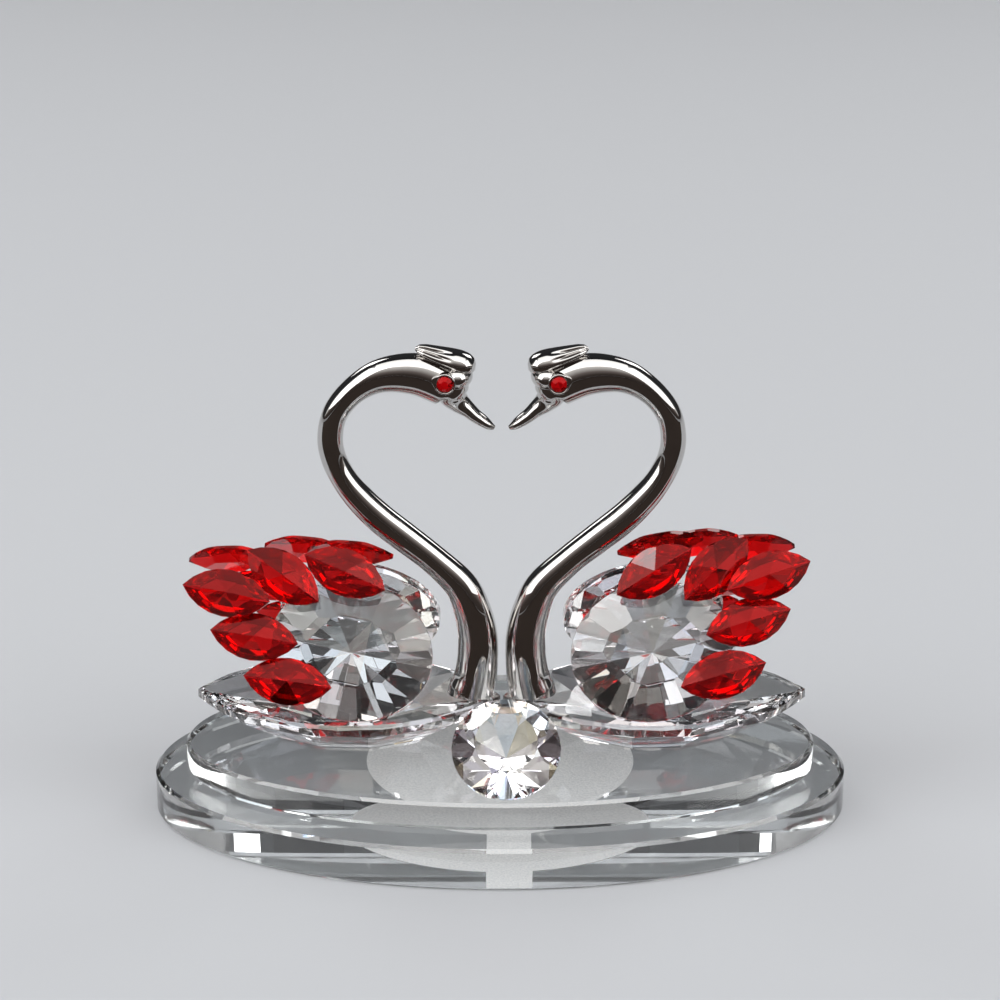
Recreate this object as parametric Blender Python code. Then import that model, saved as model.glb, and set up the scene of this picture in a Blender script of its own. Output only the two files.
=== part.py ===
"""Swan pair figurine: two cut-crystal swans face each other on a stepped oval glass base.

Each swan is a set of cut stones glued to one another, with a cast metal neck and head.
The two necks bend into a heart. A round brilliant lies on the front of the base.
The world frame has its origin on the floor under the middle of the base. The long axis
runs along X, the front faces -Y, and Z points up. All sizes below are in metres.
"""

import math
from dataclasses import dataclass

import bmesh
import bpy
from mathutils import Matrix, Vector
from mathutils.bvhtree import BVHTree

MM = 0.001
CUT_TOLERANCE = 1e-7

# Glue and seats
GLUE_GAP = 0.3 * MM
SEAT_REACH = 14.0 * MM
SEAT_STEP = 0.4 * MM
SEAT_PRECISION = 0.005 * MM

# Lower plate of the base
LOWER_LENGTH = 160.0 * MM
LOWER_DEPTH = 93.0 * MM
LOWER_THICKNESS = 10.0 * MM
LOWER_CHAMFER = 0.8 * MM

# Upper plate of the base
UPPER_LENGTH = 145.4 * MM
UPPER_DEPTH = 73.6 * MM
UPPER_THICKNESS = 6.25 * MM
UPPER_CHAMFER = 0.7 * MM
PLATE_SEGMENTS = 96

# Round brilliant at the front of the base
BRILLIANT_DIAMETER = 24.6 * MM
BRILLIANT_TABLE = 14.0 * MM
BRILLIANT_CROWN_ANGLE = math.radians(34)
BRILLIANT_CROWN_HEIGHT = 3.6 * MM
BRILLIANT_GIRDLE = 0.6 * MM
BRILLIANT_PAVILION_ANGLE = math.radians(41)
BRILLIANT_SIDEWAYS = 1.4 * MM
BRILLIANT_FROM_EDGE = 0.9 * MM

# Boat: the leaf-shaped body stone of each swan
BOAT_LENGTH = 70.0 * MM
BOAT_WIDTH = 43.0 * MM
BOAT_HEIGHT = 11.6 * MM
BOAT_CROWN_HEIGHT = 0.8 * MM
BOAT_CROWN_ANGLE = math.radians(36)
BOAT_GIRDLE = 1.4 * MM
BOAT_HULL_ANGLE = math.radians(33)
BOAT_TIP_GAP = 0.6 * MM
PAIR_SHIFT = 0.4 * MM

# Wing stone: the large oval on each side of a swan
WING_LENGTH = 37.4 * MM
WING_WIDTH = 31.6 * MM
WING_CROWN_HEIGHT = 2.9 * MM
WING_CROWN_ANGLE = math.radians(27)
WING_GIRDLE = 2.0 * MM
WING_BACK_DEPTH = 3.0 * MM
WING_BACK_ANGLE = math.radians(20)
WING_LEAN = math.radians(28)
WING_FLARE = math.radians(3)
WING_TILT = math.radians(12)
WING_BEHIND_TIP = 33.2 * MM
WING_FROM_MIDDLE = 12.6 * MM

# Feather stones: five red marquises that fan round the tail edge of each wing stone
FEATHER_LENGTH = 20.0 * MM
FEATHER_WIDTH = 10.7 * MM
FEATHER_CROWN_HEIGHT = 2.3 * MM
FEATHER_BREAK_ANGLE = math.radians(44)
FEATHER_GIRDLE = 0.5 * MM
FEATHER_BACK_DEPTH = 2.3 * MM
FEATHER_BACK_ANGLE = math.radians(36)

# Neck: one casting with the head, the cap of crest feathers, the brow and the beak
NECK_GRID = 1.0 * MM
NECK_SIDES = 18
NECK_STATIONS_PER_SPAN = 2
CAP_REAR_BEHIND_CROWN = 0.2 * MM
CAP_REAR_LIFT = 1.1 * MM
CAP_FRONT_AHEAD_OF_FACE = 6.3 * MM
CAP_FRONT_ABOVE_FACE = 3.9 * MM
CAP_HEIGHT = 2.7 * MM
CAP_REAR_HEIGHT = 0.9 * MM
CAP_WIDTH = 8.4 * MM
CAP_REAR_WIDTH = 2.2 * MM
CAP_LIP = 0.9 * MM
CAP_GROOVE_RADIUS = 0.35 * MM
BROW_AHEAD_OF_FACE = 3.1 * MM
BROW_ABOVE_FACE = 1.7 * MM
BROW_LENGTH = 5.0 * MM
BROW_HEIGHT = 6.0 * MM
BROW_WIDTH = 7.4 * MM

# Eye stones and the raised bezels that hold them
EYE_DIAMETER = 3.6 * MM
EYE_BEHIND_FACE = 0.2 * MM
EYE_ABOVE_FACE = 1.9 * MM
EYE_CROWN_HEIGHT = 0.7 * MM
EYE_GIRDLE = 0.3 * MM
EYE_BACK_DEPTH = 0.8 * MM
EYE_CLEARANCE = 0.15 * MM
BEZEL_WALL = 0.5 * MM
BEZEL_FROM_MIDDLE = 5.0 * MM
BEZEL_ROOT = 2.0 * MM
BEZEL_DEPTH = 1.5 * MM
BEZEL_SIDES = 20


@dataclass(frozen=True)
class Feather:
    """Place of one feather stone in the plane of its wing, from the wing stone's centre.

    The centre lies tailward and upward by these shares of the wing stone's half length and
    half width. A feather beside another one is measured from that one's centre instead, in
    shares of its own length and width. The tilt lifts the outer tip, and the roll lays the
    upper edge inwards.
    """

    tailward: float
    upward: float
    tilt: float
    roll: float
    beside: int


def feather(tailward, upward, tilt, roll=0.0, beside=0):
    """Make a feather's place from its two shares and its angles in degrees."""
    return Feather(tailward, upward, math.radians(tilt), math.radians(roll), beside)


# The fans were glued by hand, so each has its own places, from the breast round to the tail
LEFT_FRONT_FAN = (
    feather(0.064, 1.11, 24),
    feather(0.81, 1.06, 36),
    feather(0.309, 0.901, 11, beside=4),
    feather(1.14, 0.17, 9),
    feather(0.74, -0.46, 8),
)
LEFT_BACK_FAN = (
    feather(0.11, 0.85, 3, 11),
    feather(0.69, 0.62, 5, 11),
    feather(0.383, 0.576, -6, 11, beside=4),
    feather(1.26, 0.03, 6, 5),
    feather(0.86, -0.6, 10),
)
RIGHT_FRONT_FAN = (
    feather(0.01, 1.12, 32),
    feather(0.76, 1.16, 44),
    feather(0.224, 0.96, 19, beside=4),
    feather(1.14, 0.4, 17),
    feather(0.83, -0.36, 16),
)
RIGHT_BACK_FAN = (
    feather(0.16, 1.17, 12, 11),
    feather(0.65, 0.9, 8, 11),
    feather(0.271, 0.62, -2, 11, beside=4),
    feather(1.12, 0.17, 8, 5),
    feather(0.76, -0.49, 12),
)
FEATHER_GLUING_ORDER = (5, 4, 1, 2, 3)


@dataclass(frozen=True)
class NeckStation:
    """One section of the neck: its place behind the breast tip and above the foot, and its size."""

    behind_tip: float
    above_foot: float
    half_height: float
    half_depth: float


def station(behind_tip, above_foot, half_height, half_depth):
    """Make a neck station from sizes in steps of the neck's grid."""
    sizes = (behind_tip, above_foot, half_height, half_depth)
    return NeckStation(*(size * NECK_GRID for size in sizes))


HEAD_CROWN = station(18.6, 76.7, 4.8, 4.3)
HEAD_FACE = station(11.9, 74.1, 4.8, 4.7)

# The heart curve, from the foot up to the outermost bend and over the head to the beak
NECK_PATH = (
    station(6.7, 0.0, 5.5, 5.3),
    station(5.6, 4.5, 4.9, 4.7),
    station(5.1, 10.2, 4.7, 4.5),
    station(5.3, 15.2, 4.5, 4.3),
    station(6.6, 20.9, 4.2, 4.1),
    station(9.1, 26.4, 3.8, 3.7),
    station(15.0, 32.3, 3.4, 3.4),
    station(21.2, 37.3, 3.5, 3.4),
    station(27.0, 42.0, 3.5, 3.4),
    station(31.5, 46.5, 3.3, 3.3),
    station(35.0, 51.0, 3.0, 3.1),
    station(37.5, 56.2, 2.9, 3.0),
    station(38.3, 61.5, 2.9, 3.0),
    station(36.9, 67.5, 2.9, 3.0),
    station(32.5, 72.9, 3.1, 3.1),
    station(26.4, 76.3, 3.9, 3.6),
    HEAD_CROWN,
    HEAD_FACE,
    station(9.9, 71.6, 3.6, 3.7),
    station(9.1, 69.6, 2.4, 2.7),
    station(7.6, 68.0, 1.9, 2.2),
    station(5.7, 66.4, 1.6, 2.1),
    station(3.9, 65.3, 1.4, 1.8),
    station(2.4, 64.6, 1.0, 1.3),
    station(1.3, 64.3, 0.4, 0.5),
)


@dataclass(frozen=True)
class Swan:
    """One swan of the pair and how it was set down by hand."""

    name: str
    facing: int
    turn: float
    front_fan: tuple
    back_fan: tuple


SWANS = (
    Swan("left", 1, math.radians(3), LEFT_FRONT_FAN, LEFT_BACK_FAN),
    Swan("right", -1, math.radians(3), RIGHT_FRONT_FAN, RIGHT_BACK_FAN),
)


def clear_scene():
    """Remove every object from the open file."""
    for old in list(bpy.data.objects):
        bpy.data.objects.remove(old, do_unlink=True)


def make_material(name, color, roughness, metallic, transmission=0.0):
    """Make a Principled BSDF material."""
    material = bpy.data.materials.new(name)
    material.use_nodes = True
    shader = material.node_tree.nodes["Principled BSDF"]
    shader.inputs["Base Color"].default_value = (*color, 1.0)
    shader.inputs["Roughness"].default_value = roughness
    shader.inputs["Metallic"].default_value = metallic
    shader.inputs["Transmission Weight"].default_value = transmission
    material.diffuse_color = (*color, 1.0)
    return material


def add_object(name, bm, material, matrix=None):
    """Turn a bmesh into a named object at a place in the world."""
    bmesh.ops.recalc_face_normals(bm, faces=bm.faces[:])
    mesh = bpy.data.meshes.new(name)
    bm.to_mesh(mesh)
    bm.free()
    mesh.materials.append(material)
    obj = bpy.data.objects.new(name, mesh)
    bpy.context.scene.collection.objects.link(obj)
    if matrix is not None:
        obj.matrix_world = matrix
    return obj


def smooth(obj, angle):
    """Shade an object smooth, with creases kept sharp."""
    obj.data.shade_smooth()
    obj.data.set_sharp_from_angle(angle=angle)


def prism(outline, bottom, top):
    """Raise an outline of (x, y) points into a closed prism."""
    bm = bmesh.new()
    ring = [bm.verts.new((x, y, bottom)) for x, y in outline]
    base = bm.faces.new(ring)
    raised = bmesh.ops.extrude_face_region(bm, geom=[base])
    lifted = [item for item in raised["geom"] if isinstance(item, bmesh.types.BMVert)]
    bmesh.ops.translate(bm, verts=lifted, vec=(0.0, 0.0, top - bottom))
    bmesh.ops.recalc_face_normals(bm, faces=bm.faces[:])
    return bm


def cut(bm, point, normal):
    """Grind one flat facet: take off what lies beyond the plane and close the stone again."""
    geometry = bm.verts[:] + bm.edges[:] + bm.faces[:]
    bmesh.ops.bisect_plane(
        bm, geom=geometry, dist=CUT_TOLERANCE, plane_co=point, plane_no=normal, clear_outer=True
    )
    rim = [edge for edge in bm.edges if edge.is_boundary]
    if rim:
        bmesh.ops.edgeloop_fill(bm, edges=rim)


def cut_facet(bm, point, direction, angle, side):
    """Grind one facet through a point, at an angle to the flat of the stone."""
    flat = math.sin(angle)
    normal = Vector((direction[0] * flat, direction[1] * flat, side * math.cos(angle)))
    cut(bm, Vector(point), normal)


def farthest(outline, direction):
    """Find the outline's point that lies farthest along a direction."""
    return max(outline, key=lambda point: point[0] * direction[0] + point[1] * direction[1])


def cut_ring(bm, outline, directions, level, angle, side):
    """Grind a ring of facets that start from an outline at one level.

    The side is 1 for the crown and -1 for the back. The angle is measured from the flat of
    the stone.
    """
    for direction in directions:
        x, y = farthest(outline, direction)
        cut_facet(bm, (x, y, level), direction, angle, side)


def cut_star(bm, outline, directions, level, height):
    """Grind a ring of crown facets that rise from an outline to one point over the middle."""
    for direction in directions:
        x, y = farthest(outline, direction)
        angle = math.atan2(height, x * direction[0] + y * direction[1])
        cut_facet(bm, (x, y, level), direction, angle, 1)


def oval(length, depth, count, turn=0.0):
    """List the points of an oval outline."""
    angles = [turn + math.tau * index / count for index in range(count)]
    return [(0.5 * length * math.cos(a), 0.5 * depth * math.sin(a)) for a in angles]


def oval_directions(length, depth, count, turn=0.0):
    """List outward directions, square to an oval outline and spread evenly round it."""
    directions = []
    for index in range(count):
        angle = turn + math.tau * index / count
        direction = Vector((math.cos(angle) / length, math.sin(angle) / depth)).normalized()
        directions.append((direction.x, direction.y))
    return directions


def arc_radius(length, width):
    """Work out the radius of the two arcs that bound a marquise."""
    return (length * length + width * width) / (4.0 * width)


def marquise(length, width, count):
    """List the points of a marquise outline: two arcs that meet in two tips."""
    radius = arc_radius(length, width)
    reach = math.asin(0.5 * length / radius)
    offset = radius - 0.5 * width
    points = []
    for side in (1, -1):
        for index in range(count):
            angle = side * reach * (1.0 - 2.0 * index / count)
            points.append((radius * math.sin(angle), side * (radius * math.cos(angle) - offset)))
    return points[::-1]


def marquise_directions(length, width, count):
    """List outward directions, square to the arcs of a marquise."""
    reach = math.asin(0.5 * length / arc_radius(length, width))
    directions = []
    for side in (1, -1):
        for index in range(count):
            angle = reach * (2.0 * (index + 0.5) / count - 1.0)
            directions.append((math.sin(angle), side * math.cos(angle)))
    return directions


def scaled(outline, share):
    """Shrink an outline about its middle."""
    return [(x * share, y * share) for x, y in outline]


def cut_round_brilliant(diameter, table, crown_height, girdle, crown_angle, pavilion_angle):
    """Cut a round brilliant with its table up and its girdle around z = 0."""
    outline = oval(diameter, diameter, 32)
    depth = 0.5 * diameter * math.tan(pavilion_angle) + girdle
    bm = prism(outline, -0.5 * girdle - depth, 0.5 * girdle + crown_height)
    mains = oval_directions(diameter, diameter, 8)
    stars = oval_directions(diameter, diameter, 8, math.tau / 16)
    halves = oval_directions(diameter, diameter, 16, math.tau / 32)
    top = 0.5 * girdle
    cut_ring(bm, outline, mains, top, crown_angle, 1)
    cut_ring(bm, outline, halves, top, crown_angle + math.radians(7), 1)
    table_edge = oval(table, table, 32)
    cut_ring(bm, table_edge, stars, top + crown_height, crown_angle - math.radians(14), 1)
    cut_ring(bm, outline, mains, -top, pavilion_angle, -1)
    cut_ring(bm, outline, halves, -top, pavilion_angle + math.radians(2), -1)
    return bm


def cut_boat():
    """Cut the leaf-shaped body stone, with its keel flat at z = 0."""
    outline = marquise(BOAT_LENGTH, BOAT_WIDTH, 18)
    bm = prism(outline, 0.0, BOAT_HEIGHT)
    facets = marquise_directions(BOAT_LENGTH, BOAT_WIDTH, 9)
    crown_level = BOAT_HEIGHT - BOAT_CROWN_HEIGHT
    cut_ring(bm, outline, facets, crown_level, BOAT_CROWN_ANGLE, 1)
    hull_level = crown_level - BOAT_GIRDLE
    hull = marquise_directions(BOAT_LENGTH, BOAT_WIDTH, 5)
    cut_ring(bm, outline, hull, hull_level, BOAT_HULL_ANGLE, -1)
    cut_ring(bm, outline, facets, hull_level, BOAT_HULL_ANGLE + math.radians(14), -1)
    return bm


def cut_wing_stone():
    """Cut the oval wing stone, with its table towards +z and its girdle around z = 0."""
    outline = oval(WING_LENGTH, WING_WIDTH, 36)
    half = 0.5 * WING_GIRDLE
    bm = prism(outline, -half - WING_BACK_DEPTH, half + WING_CROWN_HEIGHT)
    mains = oval_directions(WING_LENGTH, WING_WIDTH, 12)
    between = oval_directions(WING_LENGTH, WING_WIDTH, 12, math.tau / 24)
    cut_ring(bm, outline, mains, half, WING_CROWN_ANGLE, 1)
    cut_ring(bm, outline, between, half, WING_CROWN_ANGLE + math.radians(9), 1)
    inner = scaled(outline, 0.55)
    stars = oval_directions(WING_LENGTH, WING_WIDTH, 6, math.tau / 24)
    cut_ring(bm, inner, stars, half + WING_CROWN_HEIGHT, WING_CROWN_ANGLE - math.radians(13), 1)
    back = oval_directions(WING_LENGTH, WING_WIDTH, 8, math.tau / 16)
    cut_ring(bm, outline, back, -half, WING_BACK_ANGLE, -1)
    cut_ring(bm, outline, between, -half, WING_BACK_ANGLE + math.radians(14), -1)
    return bm


def cut_feather():
    """Cut a marquise feather stone, with its pointed crown towards +z and its girdle at z = 0."""
    outline = marquise(FEATHER_LENGTH, FEATHER_WIDTH, 8)
    half = 0.5 * FEATHER_GIRDLE
    bm = prism(outline, -half - FEATHER_BACK_DEPTH, half + FEATHER_CROWN_HEIGHT)
    mains = marquise_directions(FEATHER_LENGTH, FEATHER_WIDTH, 3)
    breaks = marquise_directions(FEATHER_LENGTH, FEATHER_WIDTH, 4)
    cut_star(bm, outline, mains, half, FEATHER_CROWN_HEIGHT)
    cut_ring(bm, outline, breaks, half, FEATHER_BREAK_ANGLE, 1)
    cut_ring(bm, outline, mains, -half, FEATHER_BACK_ANGLE, -1)
    cut_ring(bm, outline, breaks, -half, FEATHER_BACK_ANGLE + math.radians(12), -1)
    return bm


def cut_eye():
    """Cut a small round eye stone, with its table towards +z and its girdle around z = 0."""
    outline = oval(EYE_DIAMETER, EYE_DIAMETER, 16)
    half = 0.5 * EYE_GIRDLE
    bm = prism(outline, -half - EYE_BACK_DEPTH, half + EYE_CROWN_HEIGHT)
    mains = oval_directions(EYE_DIAMETER, EYE_DIAMETER, 8)
    cut_ring(bm, outline, mains, half, math.radians(36), 1)
    cut_ring(bm, outline, mains, -half, math.radians(38), -1)
    return bm


def chamfered_plate(length, depth, thickness, chamfer):
    """Model an oval glass plate with its underside at z = 0 and ground edges."""
    rings = (
        (chamfer, 0.0),
        (0.0, chamfer),
        (0.0, thickness - chamfer),
        (chamfer, thickness),
    )
    bm = bmesh.new()
    loops = []
    for inset, height in rings:
        outline = oval(length - 2.0 * inset, depth - 2.0 * inset, PLATE_SEGMENTS)
        loops.append([bm.verts.new((x, y, height)) for x, y in outline])
    skin_loops(bm, loops)
    return bm


def skin_loops(bm, loops):
    """Skin a row of equal vertex loops with quads and cap both ends."""
    count = len(loops[0])
    for lower, upper in zip(loops, loops[1:]):
        for index in range(count):
            after = (index + 1) % count
            bm.faces.new((lower[index], lower[after], upper[after], upper[index]))
    bm.faces.new(loops[0][::-1])
    bm.faces.new(loops[-1])


def spline(stations, per_span):
    """Pass a smooth curve through neck stations and list finer stations along it."""
    values = [Vector((s.behind_tip, s.above_foot, s.half_height, s.half_depth)) for s in stations]
    fine = []
    for index in range(len(values) - 1):
        here = values[index]
        there = values[index + 1]
        before = values[index - 1] if index else here * 2.0 - there
        beyond = values[index + 2] if index + 2 < len(values) else there * 2.0 - here
        for step in range(per_span):
            t = step / per_span
            fine.append(catmull_rom(before, here, there, beyond, t))
    fine.append(values[-1])
    return fine


def catmull_rom(before, here, there, beyond, t):
    """Evaluate a Catmull-Rom span between its two middle points."""
    slope_in = 0.5 * (there - before)
    slope_out = 0.5 * (beyond - here)
    t2 = t * t
    t3 = t2 * t
    return (here * (2 * t3 - 3 * t2 + 1) + slope_in * (t3 - 2 * t2 + t)
            + there * (3 * t2 - 2 * t3) + slope_out * (t3 - t2))


def neck_body(tip_x, foot_z):
    """Loft the neck, head and beak in the swan's middle plane."""
    points = spline(NECK_PATH, NECK_STATIONS_PER_SPAN)
    centers = [Vector((tip_x - p[0], 0.0, foot_z + p[1])) for p in points]
    bm = bmesh.new()
    loops = []
    for index, point in enumerate(points):
        ahead = centers[min(index + 1, len(centers) - 1)]
        behind = centers[max(index - 1, 0)]
        along = (ahead - behind).normalized()
        if index == 0:
            along = Vector((0.0, 0.0, 1.0))
        across = Vector((along.z, 0.0, -along.x))
        loop = []
        for corner in range(NECK_SIDES):
            angle = math.tau * corner / NECK_SIDES
            offset = across * (point[2] * math.cos(angle))
            offset += Vector((0.0, 1.0, 0.0)) * (point[3] * math.sin(angle))
            loop.append(bm.verts.new(centers[index] + offset))
        loops.append(loop)
    skin_loops(bm, loops)
    return bm


def head_point(tip_x, foot_z, section, ahead, above):
    """Give a point in the swan's middle plane, measured from the centre of one neck station."""
    return Vector((tip_x - section.behind_tip + ahead, 0.0, foot_z + section.above_foot + above))


def cap_frame(tip_x, foot_z):
    """Give the frame of the cap: origin at its rear tip, local x forwards along its lower edge."""
    rise = HEAD_CROWN.half_height + CAP_REAR_LIFT
    rear = head_point(tip_x, foot_z, HEAD_CROWN, -CAP_REAR_BEHIND_CROWN, rise)
    front = head_point(tip_x, foot_z, HEAD_FACE, CAP_FRONT_AHEAD_OF_FACE, CAP_FRONT_ABOVE_FACE)
    along = (front - rear).normalized()
    up = Vector((-along.z, 0.0, along.x))
    turn = Matrix((along, Vector((0.0, 1.0, 0.0)), up)).transposed().to_4x4()
    return Matrix.Translation(rear) @ turn, (front - rear).length


def cap_body(tip_x, foot_z, sides=16, stations=9):
    """Loft the cap of crest feathers from its lifted rear tip to its front edge."""
    frame, length = cap_frame(tip_x, foot_z)
    bm = bmesh.new()
    loops = []
    for index in range(stations):
        t = index / (stations - 1)
        swell = math.sin(math.pi * min(1.0, 0.08 + 0.9 * t) ** 1.15)
        height = CAP_REAR_HEIGHT * (1.0 - t) + (CAP_HEIGHT - 0.4 * CAP_REAR_HEIGHT) * swell
        half_width = 0.5 * (CAP_REAR_WIDTH * (1.0 - t) + (CAP_WIDTH - 0.4 * CAP_REAR_WIDTH) * swell)
        lip = CAP_LIP * (0.4 + 0.6 * swell)
        loop = []
        for corner in range(sides):
            angle = math.tau * corner / sides
            rise = math.sin(angle)
            z = rise * (height if rise > 0.0 else lip)
            point = Vector((length * t, half_width * math.cos(angle), z))
            loop.append(bm.verts.new(frame @ point))
        loops.append(loop)
    skin_loops(bm, loops)
    return bm


def cap_groove(tip_x, foot_z, side):
    """Model the cutter for the groove between two crest feathers on one side of the cap."""
    frame, length = cap_frame(tip_x, foot_z)
    start = frame @ Vector((-0.1 * length, side * 0.4 * CAP_REAR_WIDTH, 0.8 * CAP_REAR_HEIGHT))
    end = frame @ Vector((0.5 * length, side * 0.52 * CAP_WIDTH, 0.95 * CAP_HEIGHT))
    return cylinder(CAP_GROOVE_RADIUS, start, end, 8)


def brow_body(tip_x, foot_z):
    """Model the round brow between the cap and the beak."""
    bm = bmesh.new()
    bmesh.ops.create_uvsphere(bm, u_segments=16, v_segments=10, radius=0.5)
    center = head_point(tip_x, foot_z, HEAD_FACE, BROW_AHEAD_OF_FACE, BROW_ABOVE_FACE)
    bmesh.ops.scale(bm, verts=bm.verts[:], vec=(BROW_LENGTH, BROW_WIDTH, BROW_HEIGHT))
    bmesh.ops.translate(bm, verts=bm.verts[:], vec=center)
    return bm


def cylinder(radius, start, end, sides):
    """Model a closed cylinder between two points."""
    bm = bmesh.new()
    axis = end - start
    turn = Vector((0.0, 0.0, 1.0)).rotation_difference(axis).to_matrix().to_4x4()
    place = Matrix.Translation(0.5 * (start + end)) @ turn
    bmesh.ops.create_cone(
        bm, cap_ends=True, segments=sides, radius1=radius, radius2=radius,
        depth=axis.length, matrix=place
    )
    return bm


def combine(target, tool_bm, operation):
    """Join a solid to an object, or cut it away, with an exact boolean."""
    tool = add_object("tool", tool_bm, target.data.materials[0])
    modifier = target.modifiers.new(operation.title(), "BOOLEAN")
    modifier.operation = operation
    modifier.solver = "EXACT"
    modifier.object = tool
    bpy.context.view_layer.update()
    evaluated = target.evaluated_get(bpy.context.evaluated_depsgraph_get())
    mesh = bpy.data.meshes.new_from_object(evaluated)
    target.modifiers.remove(modifier)
    old = target.data
    mesh.name = old.name
    target.data = mesh
    bpy.data.objects.remove(tool, do_unlink=True)
    bpy.data.meshes.remove(old)


def world_tree(obj, shift=Vector()):
    """Build a search tree of an object's faces in world space, moved by a shift."""
    matrix = obj.matrix_world
    points = [matrix @ vertex.co + shift for vertex in obj.data.vertices]
    faces = [tuple(polygon.vertices) for polygon in obj.data.polygons]
    return BVHTree.FromPolygons(points, faces)


def seat(obj, direction, supports):
    """Slide an object along a direction until it meets a support, then leave the glue gap.

    The slide starts a reach away on the far side. It returns the distance moved, or None
    where nothing is met, and the object then stays where it was.
    """
    direction = direction.normalized()
    trees = [world_tree(support) for support in supports]

    def touches(travel):
        moved = world_tree(obj, direction * travel)
        return any(moved.overlap(tree) for tree in trees)

    travel = -SEAT_REACH
    while travel < SEAT_REACH and not touches(travel):
        travel += SEAT_STEP
    if travel >= SEAT_REACH:
        return None
    clear = travel - SEAT_STEP
    while travel - clear > SEAT_PRECISION:
        middle = 0.5 * (travel + clear)
        if touches(middle):
            travel = middle
        else:
            clear = middle
    distance = clear - GLUE_GAP
    obj.matrix_world = Matrix.Translation(direction * distance) @ obj.matrix_world
    bpy.context.view_layer.update()
    return distance


def build_base(glass):
    """Stack the two oval plates of the base."""
    lower_bm = chamfered_plate(LOWER_LENGTH, LOWER_DEPTH, LOWER_THICKNESS, LOWER_CHAMFER)
    lower = add_object("base_lower_plate", lower_bm, glass)
    smooth(lower, math.radians(30))
    upper_bm = chamfered_plate(UPPER_LENGTH, UPPER_DEPTH, UPPER_THICKNESS, UPPER_CHAMFER)
    lift = Matrix.Translation((0.0, 0.0, LOWER_THICKNESS + GLUE_GAP))
    upper = add_object("base_upper_plate", upper_bm, glass, lift)
    smooth(upper, math.radians(30))
    return lower, upper


def build_brilliant(material, upper):
    """Lay the round brilliant on one back facet, near the front edge of the upper plate."""
    bm = cut_round_brilliant(
        BRILLIANT_DIAMETER, BRILLIANT_TABLE, BRILLIANT_CROWN_HEIGHT, BRILLIANT_GIRDLE,
        BRILLIANT_CROWN_ANGLE, BRILLIANT_PAVILION_ANGLE
    )
    half_run = 0.5 * BRILLIANT_DIAMETER * math.cos(BRILLIANT_PAVILION_ANGLE)
    center_y = -0.5 * UPPER_DEPTH + UPPER_CHAMFER + BRILLIANT_FROM_EDGE + half_run
    plate_top = LOWER_THICKNESS + GLUE_GAP + UPPER_THICKNESS
    center_z = plate_top + 0.5 * BRILLIANT_DIAMETER
    place = Matrix.Translation((BRILLIANT_SIDEWAYS, center_y, center_z))
    tip = Matrix.Rotation(BRILLIANT_PAVILION_ANGLE, 4, "X")
    turn = Matrix.Rotation(math.tau / 4, 4, "Z")
    brilliant = add_object("center_brilliant", bm, material, place @ tip @ turn)
    seat(brilliant, Vector((0.0, 0.0, -1.0)), [upper])
    return brilliant


def swan_frame(swan):
    """Give the frame of a swan: origin under its boat's middle, breast towards local +X."""
    plate_top = LOWER_THICKNESS + GLUE_GAP + UPPER_THICKNESS
    middle = 0.5 * (BOAT_LENGTH + BOAT_TIP_GAP)
    center_x = PAIR_SHIFT - swan.facing * middle
    place = Matrix.Translation((center_x, 0.0, plate_top + GLUE_GAP))
    heading = 0.0 if swan.facing > 0 else math.pi
    turn = Matrix.Rotation(heading - swan.facing * swan.turn, 4, "Z")
    return place @ turn


def wing_frame(frame, side):
    """Give the frame of a wing plane: local x level, y up the wing, z outwards.

    The side is -1 or 1, for the swan's -Y or +Y side.
    """
    lean = WING_LEAN
    columns = Matrix((
        (-side, 0.0, 0.0),
        (0.0, -side * math.sin(lean), side * math.cos(lean)),
        (0.0, math.cos(lean), math.sin(lean)),
    )).to_4x4()
    flare = Matrix.Rotation(-side * WING_FLARE, 4, "Z")
    half_rise = 0.5 * WING_WIDTH * math.cos(lean)
    center = Vector((
        0.5 * BOAT_LENGTH - WING_BEHIND_TIP, side * WING_FROM_MIDDLE, BOAT_HEIGHT + half_rise
    ))
    return frame @ Matrix.Translation(center) @ flare @ columns


def build_wing(swan, frame, side, boat, clear, red):
    """Stand one wing stone on the boat and glue its five feather stones to it."""
    facing_front = side * swan.facing < 0
    place_name = "front" if facing_front else "back"
    plane = wing_frame(frame, side)
    tilt = Matrix.Rotation(side * WING_TILT, 4, "Z")
    stone_name = swan.name + "_wing_stone_" + place_name
    stone = add_object(stone_name, cut_wing_stone(), clear, plane @ tilt)
    down = frame.to_3x3() @ Vector((0.0, 0.0, -1.0))
    drop = seat(stone, down, [boat])
    plane = Matrix.Translation(down.normalized() * (drop or 0.0)) @ plane
    inward = -(plane.to_3x3() @ Vector((0.0, 0.0, 1.0)))
    fan = swan.front_fan if facing_front else swan.back_fan
    supports = [stone]
    for number in FEATHER_GLUING_ORDER:
        name = swan.name + "_feather_" + place_name + "_" + str(number)
        place = plane @ feather_place(fan, number, side)
        marquise_stone = add_object(name, cut_feather(), red, place)
        seat(marquise_stone, inward, supports + [boat])
        supports.append(marquise_stone)


def feather_center(fan, number):
    """Give a feather's centre in its wing plane, as its tailward and upward distances."""
    place = fan[number - 1]
    if place.beside:
        tailward, upward = feather_center(fan, place.beside)
        return (tailward + place.tailward * FEATHER_LENGTH, upward + place.upward * FEATHER_WIDTH)
    return place.tailward * 0.5 * WING_LENGTH, place.upward * 0.5 * WING_WIDTH


def feather_place(fan, number, side):
    """Place one feather stone of a fan in its wing plane."""
    tailward, upward = feather_center(fan, number)
    tilt = Matrix.Rotation(side * fan[number - 1].tilt, 4, "Z")
    roll = Matrix.Rotation(-fan[number - 1].roll, 4, "X")
    return Matrix.Translation((side * tailward, upward, 0.0)) @ tilt @ roll


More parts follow.
